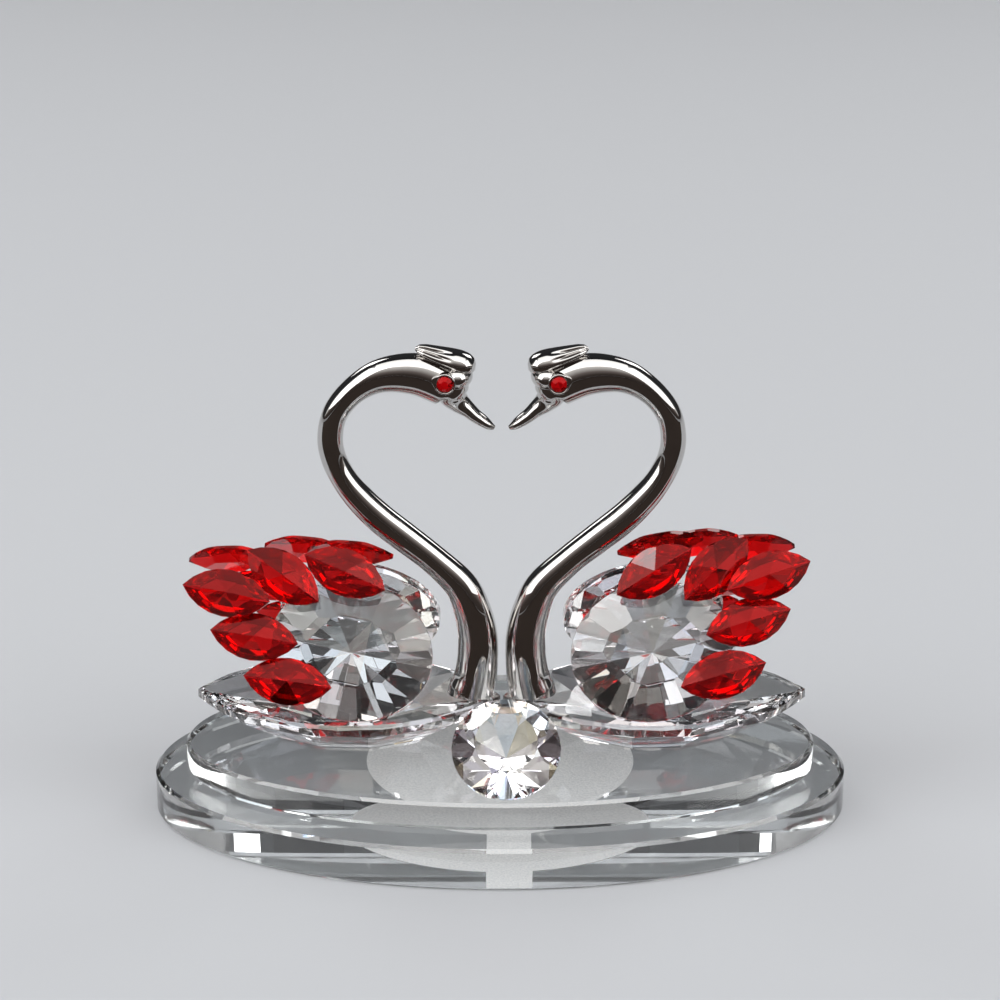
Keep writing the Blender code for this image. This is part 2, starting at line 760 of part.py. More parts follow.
def build_neck(swan, frame, chrome, red):
    """Cast the neck with its head, cap and bezels, and set the two eye stones."""
    tip_x = 0.5 * BOAT_LENGTH
    foot_z = BOAT_HEIGHT + GLUE_GAP
    neck = add_object(swan.name + "_neck", neck_body(tip_x, foot_z), chrome)
    eye = head_point(tip_x, foot_z, HEAD_FACE, -EYE_BEHIND_FACE, EYE_ABOVE_FACE)
    combine(neck, brow_body(tip_x, foot_z), "UNION")
    combine(neck, cap_body(tip_x, foot_z), "UNION")
    for side in (-1, 1):
        combine(neck, cap_groove(tip_x, foot_z, side), "DIFFERENCE")
    for side in (-1, 1):
        start = Vector((eye.x, side * BEZEL_ROOT, eye.z))
        end = Vector((eye.x, side * BEZEL_FROM_MIDDLE, eye.z))
        outer = 0.5 * EYE_DIAMETER + EYE_CLEARANCE + BEZEL_WALL
        combine(neck, cylinder(outer, start, end, BEZEL_SIDES), "UNION")
    for side in (-1, 1):
        floor = Vector((eye.x, side * (BEZEL_FROM_MIDDLE - BEZEL_DEPTH), eye.z))
        mouth = Vector((eye.x, side * (BEZEL_FROM_MIDDLE + BEZEL_DEPTH), eye.z))
        inner = 0.5 * EYE_DIAMETER + EYE_CLEARANCE
        combine(neck, cylinder(inner, floor, mouth, BEZEL_SIDES), "DIFFERENCE")
    neck.matrix_world = frame
    smooth(neck, math.radians(40))
    for side in (-1, 1):
        place_name = "front" if side * swan.facing < 0 else "back"
        floor_y = BEZEL_FROM_MIDDLE - BEZEL_DEPTH
        girdle_y = floor_y + EYE_CLEARANCE + EYE_BACK_DEPTH + 0.5 * EYE_GIRDLE
        turn = Matrix.Rotation(-side * math.tau / 4, 4, "X")
        place = frame @ Matrix.Translation((eye.x, side * girdle_y, eye.z)) @ turn
        add_object(swan.name + "_eye_" + place_name, cut_eye(), red, place)
    return neck


def build_swan(swan, upper, clear, red, chrome):
    """Build one swan on the upper plate."""
    frame = swan_frame(swan)
    boat = add_object(swan.name + "_boat", cut_boat(), clear, frame)
    down = Vector((0.0, 0.0, -1.0))
    drop = seat(boat, down, [upper])
    frame = Matrix.Translation(down * (drop or 0.0)) @ frame
    build_neck(swan, frame, chrome, red)
    for side in (-1, 1):
        build_wing(swan, frame, side, boat, clear, red)


def main():
    """Build the whole figurine."""
    clear_scene()
    glass = make_material("base_glass", (0.86, 0.9, 0.9), 0.03, 0.0, 0.85)
    crystal = make_material("clear_crystal", (0.93, 0.95, 0.96), 0.02, 0.0, 0.85)
    ruby = make_material("red_crystal", (0.62, 0.02, 0.025), 0.05, 0.0, 0.4)
    chrome = make_material("chrome", (0.82, 0.83, 0.85), 0.05, 1.0)
    lower, upper = build_base(glass)
    build_brilliant(crystal, upper)
    for swan in SWANS:
        build_swan(swan, upper, crystal, ruby, chrome)


if __name__ == "__main__":
    main()
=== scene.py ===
"""Looks of the swan pair figurine: cut stones, mirror-bright castings and a stepped glass base.

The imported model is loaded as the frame. The boats, feathers, eye stones and brilliant stay as
they were cut and get their finishes here. The wing stones are cut again, with a star back. The
two plates of the base are shown as one clear glued block, and each neck is shown as a smooth
casting with its crest, brow and bezels. All sizes are in metres.
"""

import logging
import math
from dataclasses import dataclass, field
from enum import Enum

import bmesh
import bpy
from mathutils import Matrix, Vector


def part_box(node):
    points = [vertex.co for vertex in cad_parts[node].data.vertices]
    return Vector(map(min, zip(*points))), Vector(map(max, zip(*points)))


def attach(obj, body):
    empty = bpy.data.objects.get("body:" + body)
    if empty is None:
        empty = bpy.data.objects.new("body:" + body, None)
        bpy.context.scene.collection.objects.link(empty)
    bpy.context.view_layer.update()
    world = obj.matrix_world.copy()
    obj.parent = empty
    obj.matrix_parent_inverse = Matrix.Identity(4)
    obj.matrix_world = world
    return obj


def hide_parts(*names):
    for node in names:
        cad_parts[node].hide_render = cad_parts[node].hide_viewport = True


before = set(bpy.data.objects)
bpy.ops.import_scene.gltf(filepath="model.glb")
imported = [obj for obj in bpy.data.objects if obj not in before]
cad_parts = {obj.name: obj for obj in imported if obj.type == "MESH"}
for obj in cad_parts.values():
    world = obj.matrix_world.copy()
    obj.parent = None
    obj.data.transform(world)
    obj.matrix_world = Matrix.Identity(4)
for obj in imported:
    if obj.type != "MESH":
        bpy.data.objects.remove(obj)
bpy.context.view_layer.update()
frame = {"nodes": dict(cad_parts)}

LOG = logging.getLogger("swan_pair")
MM = 0.001

Color = tuple[float, float, float]
Outline = list[tuple[float, float]]
Stops = tuple[tuple[float, Color], ...]

WHITE: Color = (1.0, 1.0, 1.0)
SMUDGE_RANGE = (0.48, 0.72)
GRAIN_RANGE = (0.3, 0.7)
RIPPLE_SCALE = 420.0
FACET_STEP = 0.06
# Power of the painted shade on facets: the higher it is, the fewer facets get a deep painted shade
PAINTED_SHADE_POWER = 4.5
# Painted glint colours for random facets, in place of the coloured flashes of dispersion
PAINTED_FIRE_COLORS: Stops = (
    (0.0, WHITE), (0.5, WHITE), (0.6, (1.0, 0.9, 0.5)), (0.68, (1.0, 0.7, 0.45)),
    (0.76, (1.0, 0.78, 0.82)), (0.86, (0.8, 0.78, 1.0)), (0.95, (0.62, 0.82, 1.0)),
)


class Facing(Enum):
    """Which way a swan's breast points along the world's X axis."""

    RIGHT = 1
    LEFT = -1


class Side(Enum):
    """The two sides of a swan, in its own frame."""

    MINUS_Y = -1
    PLUS_Y = 1


class Slot(Enum):
    """The record's material slots."""

    BASE = "base_glass"
    CLEAR = "clear_crystal"
    RED = "red_crystal"
    METAL = "chrome"


class NodeBuilder:
    """Adds nodes to one node tree and fills their inputs."""

    def __init__(self, tree: bpy.types.NodeTree) -> None:
        """Work in a node tree."""
        self.tree = tree

    def fill(self, target: bpy.types.NodeSocket, value: object) -> None:
        """Link a socket into an input, or set a plain value on it.

        Args:
            target: The input.
            value: A socket or a plain value.
        """
        if isinstance(value, bpy.types.NodeSocket):
            self.tree.links.new(value, target)
        else:
            target.default_value = value

    def add(
        self, kind: str, inputs: dict[str | int, object] | None = None, **settings: object,
    ) -> bpy.types.Node:
        """Add a node.

        Args:
            kind: Blender's name of the node type.
            inputs: Sockets or plain values for its inputs, by name or number.
            **settings: Properties that are set on it first.

        Returns:
            The new node.
        """
        node = self.tree.nodes.new(kind)
        for key, value in settings.items():
            setattr(node, key, value)
        for key, value in (inputs or {}).items():
            self.fill(node.inputs[key], value)
        return node

    def math(self, operation: str, *values: object) -> bpy.types.NodeSocket:
        """Combine values.

        Args:
            operation: Blender's name of the operation.
            *values: Sockets or numbers, in order.

        Returns:
            The socket with the result.
        """
        return self.add("ShaderNodeMath", dict(enumerate(values)), operation=operation).outputs[0]


class GroupBuilder(NodeBuilder):
    """Builds one shader node group with named inputs and outputs."""

    def __init__(self, name: str, inputs: dict[str, object], outputs: dict[str, str]) -> None:
        """Start a group.

        Args:
            name: Name of the group.
            inputs: Value that each input has where nothing is linked: a number or a colour.
            outputs: Kind of each output: Float or Color.
        """
        super().__init__(bpy.data.node_groups.new(name, "ShaderNodeTree"))
        self.entry = self.add("NodeGroupInput")
        self.exit = self.add("NodeGroupOutput")
        sockets = self.tree.interface
        for key, default in inputs.items():
            kind = "NodeSocketFloat" if isinstance(default, float) else "NodeSocketColor"
            sockets.new_socket(key, in_out="INPUT", socket_type=kind).default_value = default
        for key, kind in outputs.items():
            sockets.new_socket(key, in_out="OUTPUT", socket_type="NodeSocket" + kind)

    def value(self, name: str) -> bpy.types.NodeSocket:
        """Give the socket of one of the group's inputs."""
        return self.entry.outputs[name]

    def put(self, name: str, source: bpy.types.NodeSocket) -> None:
        """Link a socket to one of the group's outputs."""
        self.fill(self.exit.inputs[name], source)


def set_ramp(ramp: bpy.types.ColorRamp, stops: Stops) -> None:
    """Give a colour ramp its stops.

    Args:
        ramp: The ramp.
        stops: Place and colour of each stop, in order.
    """
    while len(ramp.elements) < len(stops):
        ramp.elements.new(0.5)
    for stop, (position, color) in zip(ramp.elements, stops):
        stop.position = position
        stop.color = (*color, 1.0)


def surface_marks_group() -> bpy.types.NodeTree:
    """Build the group for the faint marks of handling: smudges and a fine ripple.

    Returns:
        A group that gives a roughness, a tint and a bump height.
    """
    group = GroupBuilder(
        "Surface Marks",
        {
            "Clean Roughness": 0.0, "Marked Roughness": 0.05, "Smudge Scale": 60.0,
            "Clean Color": (1.0, 1.0, 1.0, 1.0), "Marked Color": (0.9, 0.9, 0.9, 1.0),
        },
        {"Roughness": "Float", "Color": "Color", "Height": "Float"},
    )
    place = group.add("ShaderNodeTexCoord").outputs["Object"]
    smudge = group.add("ShaderNodeTexNoise", {
        "Vector": place, "Scale": group.value("Smudge Scale"), "Detail": 4.0, "Roughness": 0.62,
    })
    spread = group.add("ShaderNodeMapRange", {
        "Value": smudge.outputs["Fac"], "From Min": SMUDGE_RANGE[0], "From Max": SMUDGE_RANGE[1],
    }, interpolation_type="SMOOTHSTEP").outputs["Result"]
    roughness = group.add("ShaderNodeMix", {
        0: spread, 2: group.value("Clean Roughness"), 3: group.value("Marked Roughness"),
    }, data_type="FLOAT")
    group.put("Roughness", roughness.outputs[0])
    tint = group.add("ShaderNodeMix", {
        0: spread, 6: group.value("Clean Color"), 7: group.value("Marked Color"),
    }, data_type="RGBA")
    group.put("Color", tint.outputs[2])
    ripple = group.add("ShaderNodeTexNoise", {
        "Vector": place, "Scale": RIPPLE_SCALE, "Detail": 2.0,
    })
    group.put("Height", ripple.outputs["Fac"])
    return group.tree


def grain_group() -> bpy.types.NodeTree:
    """Build the group for the grain of a sandblasted surface.

    Returns:
        A group that gives a speckled colour and the height of the grain.
    """
    group = GroupBuilder(
        "Sandblasted Grain",
        {
            "Light Color": (0.8, 0.8, 0.8, 1.0), "Dark Color": (0.6, 0.6, 0.6, 1.0),
            "Scale": 2600.0,
        },
        {"Color": "Color", "Height": "Float"},
    )
    grain = group.add("ShaderNodeTexNoise", {
        "Vector": group.add("ShaderNodeTexCoord").outputs["Object"],
        "Scale": group.value("Scale"), "Detail": 3.0,
    }).outputs["Fac"]
    spread = group.add("ShaderNodeMapRange", {
        "Value": grain, "From Min": GRAIN_RANGE[0], "From Max": GRAIN_RANGE[1],
    })
    speckle = group.add("ShaderNodeMix", {
        0: spread.outputs["Result"], 6: group.value("Dark Color"), 7: group.value("Light Color"),
    }, data_type="RGBA")
    group.put("Color", speckle.outputs[2])
    group.put("Height", grain)
    return group.tree


def facet_group() -> bpy.types.NodeTree:
    """Build the group of painted light for cut glass: each facet gets its own painted shade and
    painted glint colour.

    Returns:
        A group that gives one colour and one mirror strength for each facet.
    """
    group = GroupBuilder(
        "Painted Facet Light",
        {"Shade": 0.5, "Fire": 0.3, "Mirrors": 0.1, "Seed": 0.0},
        {"Color": "Color", "Mirror": "Float"},
    )
    facing = group.add("ShaderNodeNewGeometry").outputs["True Normal"]
    step = group.add("ShaderNodeVectorMath", {0: facing, 1: (FACET_STEP,) * 3}, operation="SNAP")
    chance = group.add("ShaderNodeTexWhiteNoise", {
        "Vector": step.outputs["Vector"], "W": group.value("Seed"),
    }, noise_dimensions="4D")
    apart = group.add("ShaderNodeSeparateColor", {"Color": chance.outputs["Color"]})
    group.put("Mirror", group.math("LESS_THAN", apart.outputs["Blue"], group.value("Mirrors")))
    # A random painted shade for each facet, in place of the dark reflections that cut glass shows
    depth = group.math("POWER", apart.outputs["Red"], PAINTED_SHADE_POWER)
    light = group.math("SUBTRACT", 1.0, group.math("MULTIPLY", depth, group.value("Shade")))
    # A random painted glint colour for each facet, standing for the fire of cut glass
    fire = group.add("ShaderNodeValToRGB", {"Fac": apart.outputs["Green"]})
    set_ramp(fire.color_ramp, PAINTED_FIRE_COLORS)
    tinted = group.add("ShaderNodeMix", {
        0: group.value("Fire"), 6: (*WHITE, 1.0), 7: fire.outputs["Color"],
    }, data_type="RGBA")
    shaded = group.add("ShaderNodeVectorMath", {
        0: tinted.outputs[2], "Scale": light,
    }, operation="SCALE")
    group.put("Color", shaded.outputs["Vector"])
    return group.tree


@dataclass(frozen=True)
class SharedGroups:
    """The shader node groups that the finishes share."""

    marks: bpy.types.NodeTree
    grain: bpy.types.NodeTree
    facets: bpy.types.NodeTree

    @classmethod
    def build(cls) -> "SharedGroups":
        """Build every shared group once."""
        return cls(surface_marks_group(), grain_group(), facet_group())


class MaterialBuilder(NodeBuilder):
    """A material under construction, with its Principled BSDF at hand."""

    def __init__(self, name: str) -> None:
        """Start a material.

        Args:
            name: Name of the material.
        """
        self.material = bpy.data.materials.new(name)
        self.material.use_nodes = True
        super().__init__(self.material.node_tree)
        self.shader = self.tree.nodes["Principled BSDF"]

    def feed(self, inputs: dict[str, object]) -> None:
        """Fill inputs of the shader by name, each with a socket or a plain value."""
        for key, value in inputs.items():
            self.fill(self.shader.inputs[key], value)

    def group(self, tree: bpy.types.NodeTree, values: dict[str, object]) -> bpy.types.Node:
        """Place a shared group and give it its input values by socket name."""
        return self.add("ShaderNodeGroup", values, node_tree=tree)

    def bump(self, height: bpy.types.NodeSocket, strength: float, distance: float) -> None:
        """Feed a bump height to the shader's normal.

        Args:
            height: Socket with the height.
            strength: Share of the effect.
            distance: Depth in metres at full height.
        """
        node = self.add("ShaderNodeBump", {
            "Strength": strength, "Distance": distance, "Height": height,
        })
        self.feed({"Normal": node.outputs["Normal"]})

    def light_shadow(self, opacity: float) -> None:
        """Let part of the light through to what lies behind or under this material.

        Args:
            opacity: Share of the light that each surface takes away.
        """
        path = self.add("ShaderNodeLightPath")
        either = self.math(
            "MAXIMUM", path.outputs["Is Shadow Ray"], path.outputs["Is Diffuse Ray"],
        )
        self.feed({"Alpha": self.math("MULTIPLY_ADD", either, opacity - 1.0, 1.0)})

    def absorb(self, color: Color, density: float) -> None:
        """Take light away along its way through the stone.

        Args:
            color: Colour that is let through longest.
            density: Strength per metre.
        """
        volume = self.add("ShaderNodeVolumeAbsorption", {
            "Color": (*color, 1.0), "Density": density,
        })
        output = self.tree.nodes["Material Output"]
        self.fill(output.inputs["Volume"], volume.outputs["Volume"])


@dataclass(frozen=True)
class StoneFinish:
    """Polished cut glass, clear or coloured."""

    name: str
    color: Color
    marked_color: Color
    ior: float
    marked_roughness: float
    smudge_scale: float
    ripple: float
    shadow: float
    # shade: strength of the painted shade that darkens the base colour of random facets
    shade: float = 0.0
    # fire: strength of the painted glint colours on random facets
    fire: float = 0.0
    mirrors: float = 0.0
    mirror_ior: float = 2.6
    clearness: float = 1.0
    polish: float = 0.0
    seed: float = 0.0
    depth_color: Color = (1.0, 1.0, 1.0)
    depth_density: float = 0.0
    sheen_color: Color = (1.0, 1.0, 1.0)

    def build(self, groups: SharedGroups) -> bpy.types.Material:
        """Build the material.

        Args:
            groups: The shared shader node groups.

        Returns:
            The finished material.
        """
        work = MaterialBuilder(self.name)
        work.feed({
            "Metallic": 0.0,
            "Transmission Weight": self.clearness,
            "IOR": self.ior,
            "Coat Weight": self.polish,
            "Coat IOR": self.mirror_ior,
            "Specular Tint": (*self.sheen_color, 1.0),
        })
        marks = work.group(groups.marks, {
            "Clean Roughness": 0.0,
            "Marked Roughness": self.marked_roughness,
            "Smudge Scale": self.smudge_scale,
            "Clean Color": (*self.color, 1.0),
            "Marked Color": (*self.marked_color, 1.0),
        })
        color = marks.outputs["Color"]
        # The facets' painted shade and painted glint colours are multiplied into the base colour
        if self.shade or self.fire:
            facets = work.group(groups.facets, {
                "Shade": self.shade, "Fire": self.fire, "Mirrors": self.mirrors, "Seed": self.seed,
            })
            work.feed({"Coat Weight": facets.outputs["Mirror"]})
            color = work.add("ShaderNodeMix", {
                0: 1.0, 6: color, 7: facets.outputs["Color"],
            }, data_type="RGBA", blend_type="MULTIPLY").outputs[2]
        work.feed({"Base Color": color, "Roughness": marks.outputs["Roughness"]})
        work.bump(marks.outputs["Height"], 1.0, self.ripple)
        work.light_shadow(self.shadow)
        if self.depth_density:
            work.absorb(self.depth_color, self.depth_density)
        return work.material


@dataclass(frozen=True)
class FrostFinish:
    """Sandblasted glass: matt, pale and finely speckled."""

    name: str
    light_color: Color
    dark_color: Color
    grain_scale: float
    grain_depth: float

    def build(self, groups: SharedGroups) -> bpy.types.Material:
        """Build the material.

        Args:
            groups: The shared shader node groups.

        Returns:
            The finished material.
        """
        work = MaterialBuilder(self.name)
        work.feed({"Roughness": 1.0, "Specular IOR Level": 0.1})
        grain = work.group(groups.grain, {
            "Light Color": (*self.light_color, 1.0),
            "Dark Color": (*self.dark_color, 1.0),
            "Scale": self.grain_scale,
        })
        work.feed({"Base Color": grain.outputs["Color"]})
        work.bump(grain.outputs["Height"], 0.5, self.grain_depth)
        return work.material


@dataclass(frozen=True)
class MetalFinish:
    """Mirror-bright plated casting with faint smudges."""

    name: str
    color: Color
    marked_color: Color
    clean_roughness: float
    marked_roughness: float
    ripple: float
    smudge_scale: float = 140.0

    def build(self, groups: SharedGroups) -> bpy.types.Material:
        """Build the material.

        Args:
            groups: The shared shader node groups.

        Returns:
            The finished material.
        """
        work = MaterialBuilder(self.name)
        marks = work.group(groups.marks, {
            "Clean Roughness": self.clean_roughness,
            "Marked Roughness": self.marked_roughness,
            "Smudge Scale": self.smudge_scale,
            "Clean Color": (*self.color, 1.0),
            "Marked Color": (*self.marked_color, 1.0),
        })
        work.feed({
            "Metallic": 1.0,
            "Base Color": marks.outputs["Color"],
            "Roughness": marks.outputs["Roughness"],
        })
        work.bump(marks.outputs["Height"], 1.0, self.ripple)
        return work.material


@dataclass(frozen=True)
class MattFinish:
    """Plain matt colour without gloss, for the floor, the card and the flags."""

    name: str
    color: Color
    roughness: float

    def build(self) -> bpy.types.Material:
        """Build the material."""
        work = MaterialBuilder(self.name)
        work.feed({
            "Base Color": (*self.color, 1.0), "Roughness": self.roughness,
            "Specular IOR Level": 0.0,
        })
        return work.material


@dataclass(frozen=True)
class Finishes:
    """Every finish of the object, ready to assign."""

    base: bpy.types.Material
    frost: bpy.types.Material
    crystal: bpy.types.Material
    brilliant: bpy.types.Material
    ruby: bpy.types.Material
    eye: bpy.types.Material
    chrome: bpy.types.Material

    @classmethod
    def build(cls) -> "Finishes":
        """Build every material from its settings."""
        groups = SharedGroups.build()
        base = StoneFinish(
            "Base glass", (0.94, 0.97, 0.97), (0.92, 0.95, 0.955), 1.52, 0.012, 45.0,
            0.0005 * MM, 0.26, polish=0.4, mirror_ior=2.0,
        )
        frost = FrostFinish(
            "Sandblasted glass", (1.0, 1.0, 1.0), (0.74, 0.76, 0.78), 1900.0, 0.05 * MM,
        )
        crystal = StoneFinish(
            "Clear crystal", (0.98, 0.985, 0.99), (0.95, 0.955, 0.965), 1.58, 0.02, 90.0,
            0.001 * MM, 0.28, shade=0.85, fire=0.35, mirrors=0.1, seed=3.0,
        )
        brilliant = StoneFinish(
            "Brilliant crystal", (0.99, 0.99, 0.99), (0.96, 0.96, 0.97), 1.6, 0.015, 90.0,
            0.001 * MM, 0.28, shade=0.9, fire=1.0, mirrors=0.12, seed=6.0,
        )
        ruby = StoneFinish(
            "Red crystal", (0.97, 0.07, 0.08), (0.9, 0.06, 0.07), 1.6, 0.04, 120.0, 0.002 * MM,
            0.6, shade=1.0, mirrors=0.07, mirror_ior=2.3, clearness=0.95, seed=5.0,
            depth_color=(0.96, 0.0, 0.02), depth_density=560.0, sheen_color=(1.0, 0.16, 0.15),
        )
        eye = StoneFinish(
            "Eye stone", (0.9, 0.006, 0.01), (0.8, 0.006, 0.008), 1.6, 0.03, 300.0, 0.001 * MM,
            0.8, shade=1.0, clearness=0.6, seed=4.0, depth_color=(0.95, 0.0, 0.0),
            depth_density=500.0, sheen_color=(1.0, 0.15, 0.15),
        )
        chrome = MetalFinish(
            "Plated casting", (0.58, 0.565, 0.55), (0.52, 0.505, 0.49), 0.02, 0.075, 0.002 * MM,
        )
        return cls(
            base.build(groups), frost.build(groups), crystal.build(groups), brilliant.build(groups),
            ruby.build(groups), eye.build(groups), chrome.build(groups),
        )


def add_piece(
    name: str, bm: bmesh.types.BMesh, material: bpy.types.Material,
    crease: float | None = None,
) -> bpy.types.Object:
    """Turn a bmesh in world coordinates into a piece of the object.

    Args:
        name: Name of the piece.
        bm: Its mesh, which is freed.
        material: Its finish.
        crease: Angle in radians above which an edge stays sharp, or None for flat facets.

    Returns:
        The new object, which rides on the object's only body.
    """
    bmesh.ops.recalc_face_normals(bm, faces=bm.faces[:])
    mesh = bpy.data.meshes.new(name)
    bm.to_mesh(mesh)
    bm.free()
    mesh.materials.append(material)
    piece = bpy.data.objects.new(name, mesh)
    bpy.context.scene.collection.objects.link(piece)
    if crease is not None:
        mesh.shade_smooth()
        mesh.set_sharp_from_angle(angle=crease)
    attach(piece, "root")
    return piece


def skin_loops(bm: bmesh.types.BMesh, loops: list[list[Vector]]) -> None:
    """Skin a row of equal loops of points with quads and close both ends.

    Args:
        bm: The mesh to add to.
        loops: The loops, each a list of points in order.
    """
    rings = [[bm.verts.new(point) for point in loop] for loop in loops]
    count = len(rings[0])
    for lower, upper in zip(rings, rings[1:]):
        for index in range(count):
            after = (index + 1) % count
            bm.faces.new((lower[index], lower[after], upper[after], upper[index]))
    bm.faces.new(rings[0][::-1])
    bm.faces.new(rings[-1])


def oval_loop(length: float, depth: float, height: float, count: int) -> list[Vector]:
    """List the points of a level oval.

    Args:
        length: Size along X.
        depth: Size along Y.
        height: Level of the oval.
        count: Number of points.

    Returns:
        The points in order.
    """
    angles = (math.tau * index / count for index in range(count))
    return [Vector((0.5 * length * math.cos(a), 0.5 * depth * math.sin(a), height)) for a in angles]


@dataclass
class SteppedBase:
    """The two glass plates, glued into one clear block with a V groove between them."""

    lower_chamfer: float = 0.8 * MM
    upper_chamfer: float = 0.7 * MM
    segments: int = 360
    crease: float = math.radians(20)

    def build(self, finish: bpy.types.Material) -> bpy.types.Object:
        """Build the block in place of the two plates.

        Args:
            finish: Material of the glass.

        Returns:
            The block.
        """
        lower_low, lower_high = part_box("base_lower_plate")
        upper_low, upper_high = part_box("base_upper_plate")
        lower = lower_high - lower_low
        upper = upper_high - upper_low
        chamfer = self.lower_chamfer
        groove = self.upper_chamfer
        joint = lower_high.z
        rings = (
            (lower, chamfer, lower_low.z),
            (lower, 0.0, lower_low.z + chamfer),
            (lower, 0.0, joint - chamfer),
            (lower, chamfer, joint),
            (upper, groove, joint),
            (upper, 0.0, upper_low.z + groove),
            (upper, 0.0, upper_high.z - groove),
            (upper, groove, upper_high.z),
        )
        loops = [
            oval_loop(size.x - 2.0 * inset, size.y - 2.0 * inset, height, self.segments)
            for size, inset, height in rings
        ]
        bm = bmesh.new()
        skin_loops(bm, loops)
        block = add_piece("base_block", bm, finish, self.crease)
        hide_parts("base_lower_plate", "base_upper_plate")
        LOG.info("base_block stands for the two plates")
        return block


@dataclass
class FrostedPatch:
    """The sandblasted disc under the base, with a tab that runs to the front edge."""

    radius: float = 31.0 * MM
    tab_half_width: float = 5.0 * MM
    tab_middle: float = 2.0 * MM
    edge_inset: float = 0.9 * MM
    level: float = 0.03 * MM
    thickness: float = 0.04 * MM
    segments: int = 128

    def outline(self) -> Outline:
        """List the points of the patch, round the disc and along the tab."""
        right = self.tab_middle + self.tab_half_width
        left = self.tab_middle - self.tab_half_width
        start = -math.acos(right / self.radius)
        end = math.tau - math.acos(left / self.radius)
        points = []
        for index in range(self.segments + 1):
            angle = start + (end - start) * index / self.segments
            points.append((self.radius * math.cos(angle), self.radius * math.sin(angle)))
        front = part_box("base_lower_plate")[0].y + self.edge_inset
        points += [(left, front), (right, front)]
        return points

    def build(self, finish: bpy.types.Material) -> bpy.types.Object:
        """Build the patch as a thin layer at the underside of the glass.

        Args:
            finish: Material of the sandblasted surface.

        Returns:
            The patch.
        """
        top = self.level + self.thickness
        low = [Vector((x, y, self.level)) for x, y in self.outline()]
        high = [Vector((x, y, top)) for x, y in self.outline()]
        bm = bmesh.new()
        skin_loops(bm, [low, high])
        patch = add_piece("base_frosted_patch", bm, finish)
        LOG.info("base_frosted_patch lies at the underside of the block")
        return patch


def prism(outline: Outline, bottom: float, top: float) -> bmesh.types.BMesh:
    """Raise an outline into a closed prism.

    Args:
        outline: Points in order.
        bottom: Lowest level.
        top: Highest level.

    Returns:
        The prism.
    """
    bm = bmesh.new()
    skin_loops(bm, [[Vector((x, y, level)) for x, y in outline] for level in (bottom, top)])
    return bm


def grind(bm: bmesh.types.BMesh, point: Vector, normal: Vector) -> None:
    """Grind one flat facet: take off what lies beyond the plane and close the stone again.

    Args:
        bm: The stone.
        point: A point of the facet's plane.
        normal: Outward direction of the facet.
    """
    geometry = bm.verts[:] + bm.edges[:] + bm.faces[:]
    bmesh.ops.bisect_plane(
        bm, geom=geometry, dist=0.005 * MM, plane_co=point, plane_no=normal, clear_outer=True,
    )
    rim = [edge for edge in bm.edges if edge.is_boundary]
    if rim:
        bmesh.ops.edgeloop_fill(bm, edges=rim)


@dataclass(frozen=True)
class OvalCut:
    """An oval outline and the facets that are ground round it."""

    length: float
    width: float
    points: int = 72

    def outline(self, share: float = 1.0) -> Outline:
        """List the outline's points, shrunk to a share of its size."""
        loop = oval_loop(self.length * share, self.width * share, 0.0, self.points)
        return [(point.x, point.y) for point in loop]

    def grind_ring(
        self, bm: bmesh.types.BMesh, count: int, turn: float, level: float, side: int,
        angle: float | None = None, rise: float = 0.0, share: float = 1.0,
    ) -> None:
        """Grind a ring of facets that start from the outline at one level.

        Args:
            bm: The stone.
            count: Number of facets.
            turn: Place of the first facet, in steps.
            level: Level where the facets start.
            side: 1 for the crown and -1 for the back.
            angle: Angle from the flat of the stone, or None where the facets meet in a point.
            rise: Height of that point over the level.
            share: Share of the outline's size where the facets start.
        """
        outline = self.outline(share)
        for index in range(count):
            around = math.tau * (index + turn) / count
            out = Vector((math.cos(around) / self.length, math.sin(around) / self.width, 0.0))
            out.normalize()
            x, y = max(outline, key=lambda point: point[0] * out.x + point[1] * out.y)
            slope = angle if angle is not None else math.atan2(rise, x * out.x + y * out.y)
            normal = out * math.sin(slope) + Vector((0.0, 0.0, side * math.cos(slope)))
            grind(bm, Vector((x, y, level)), normal)


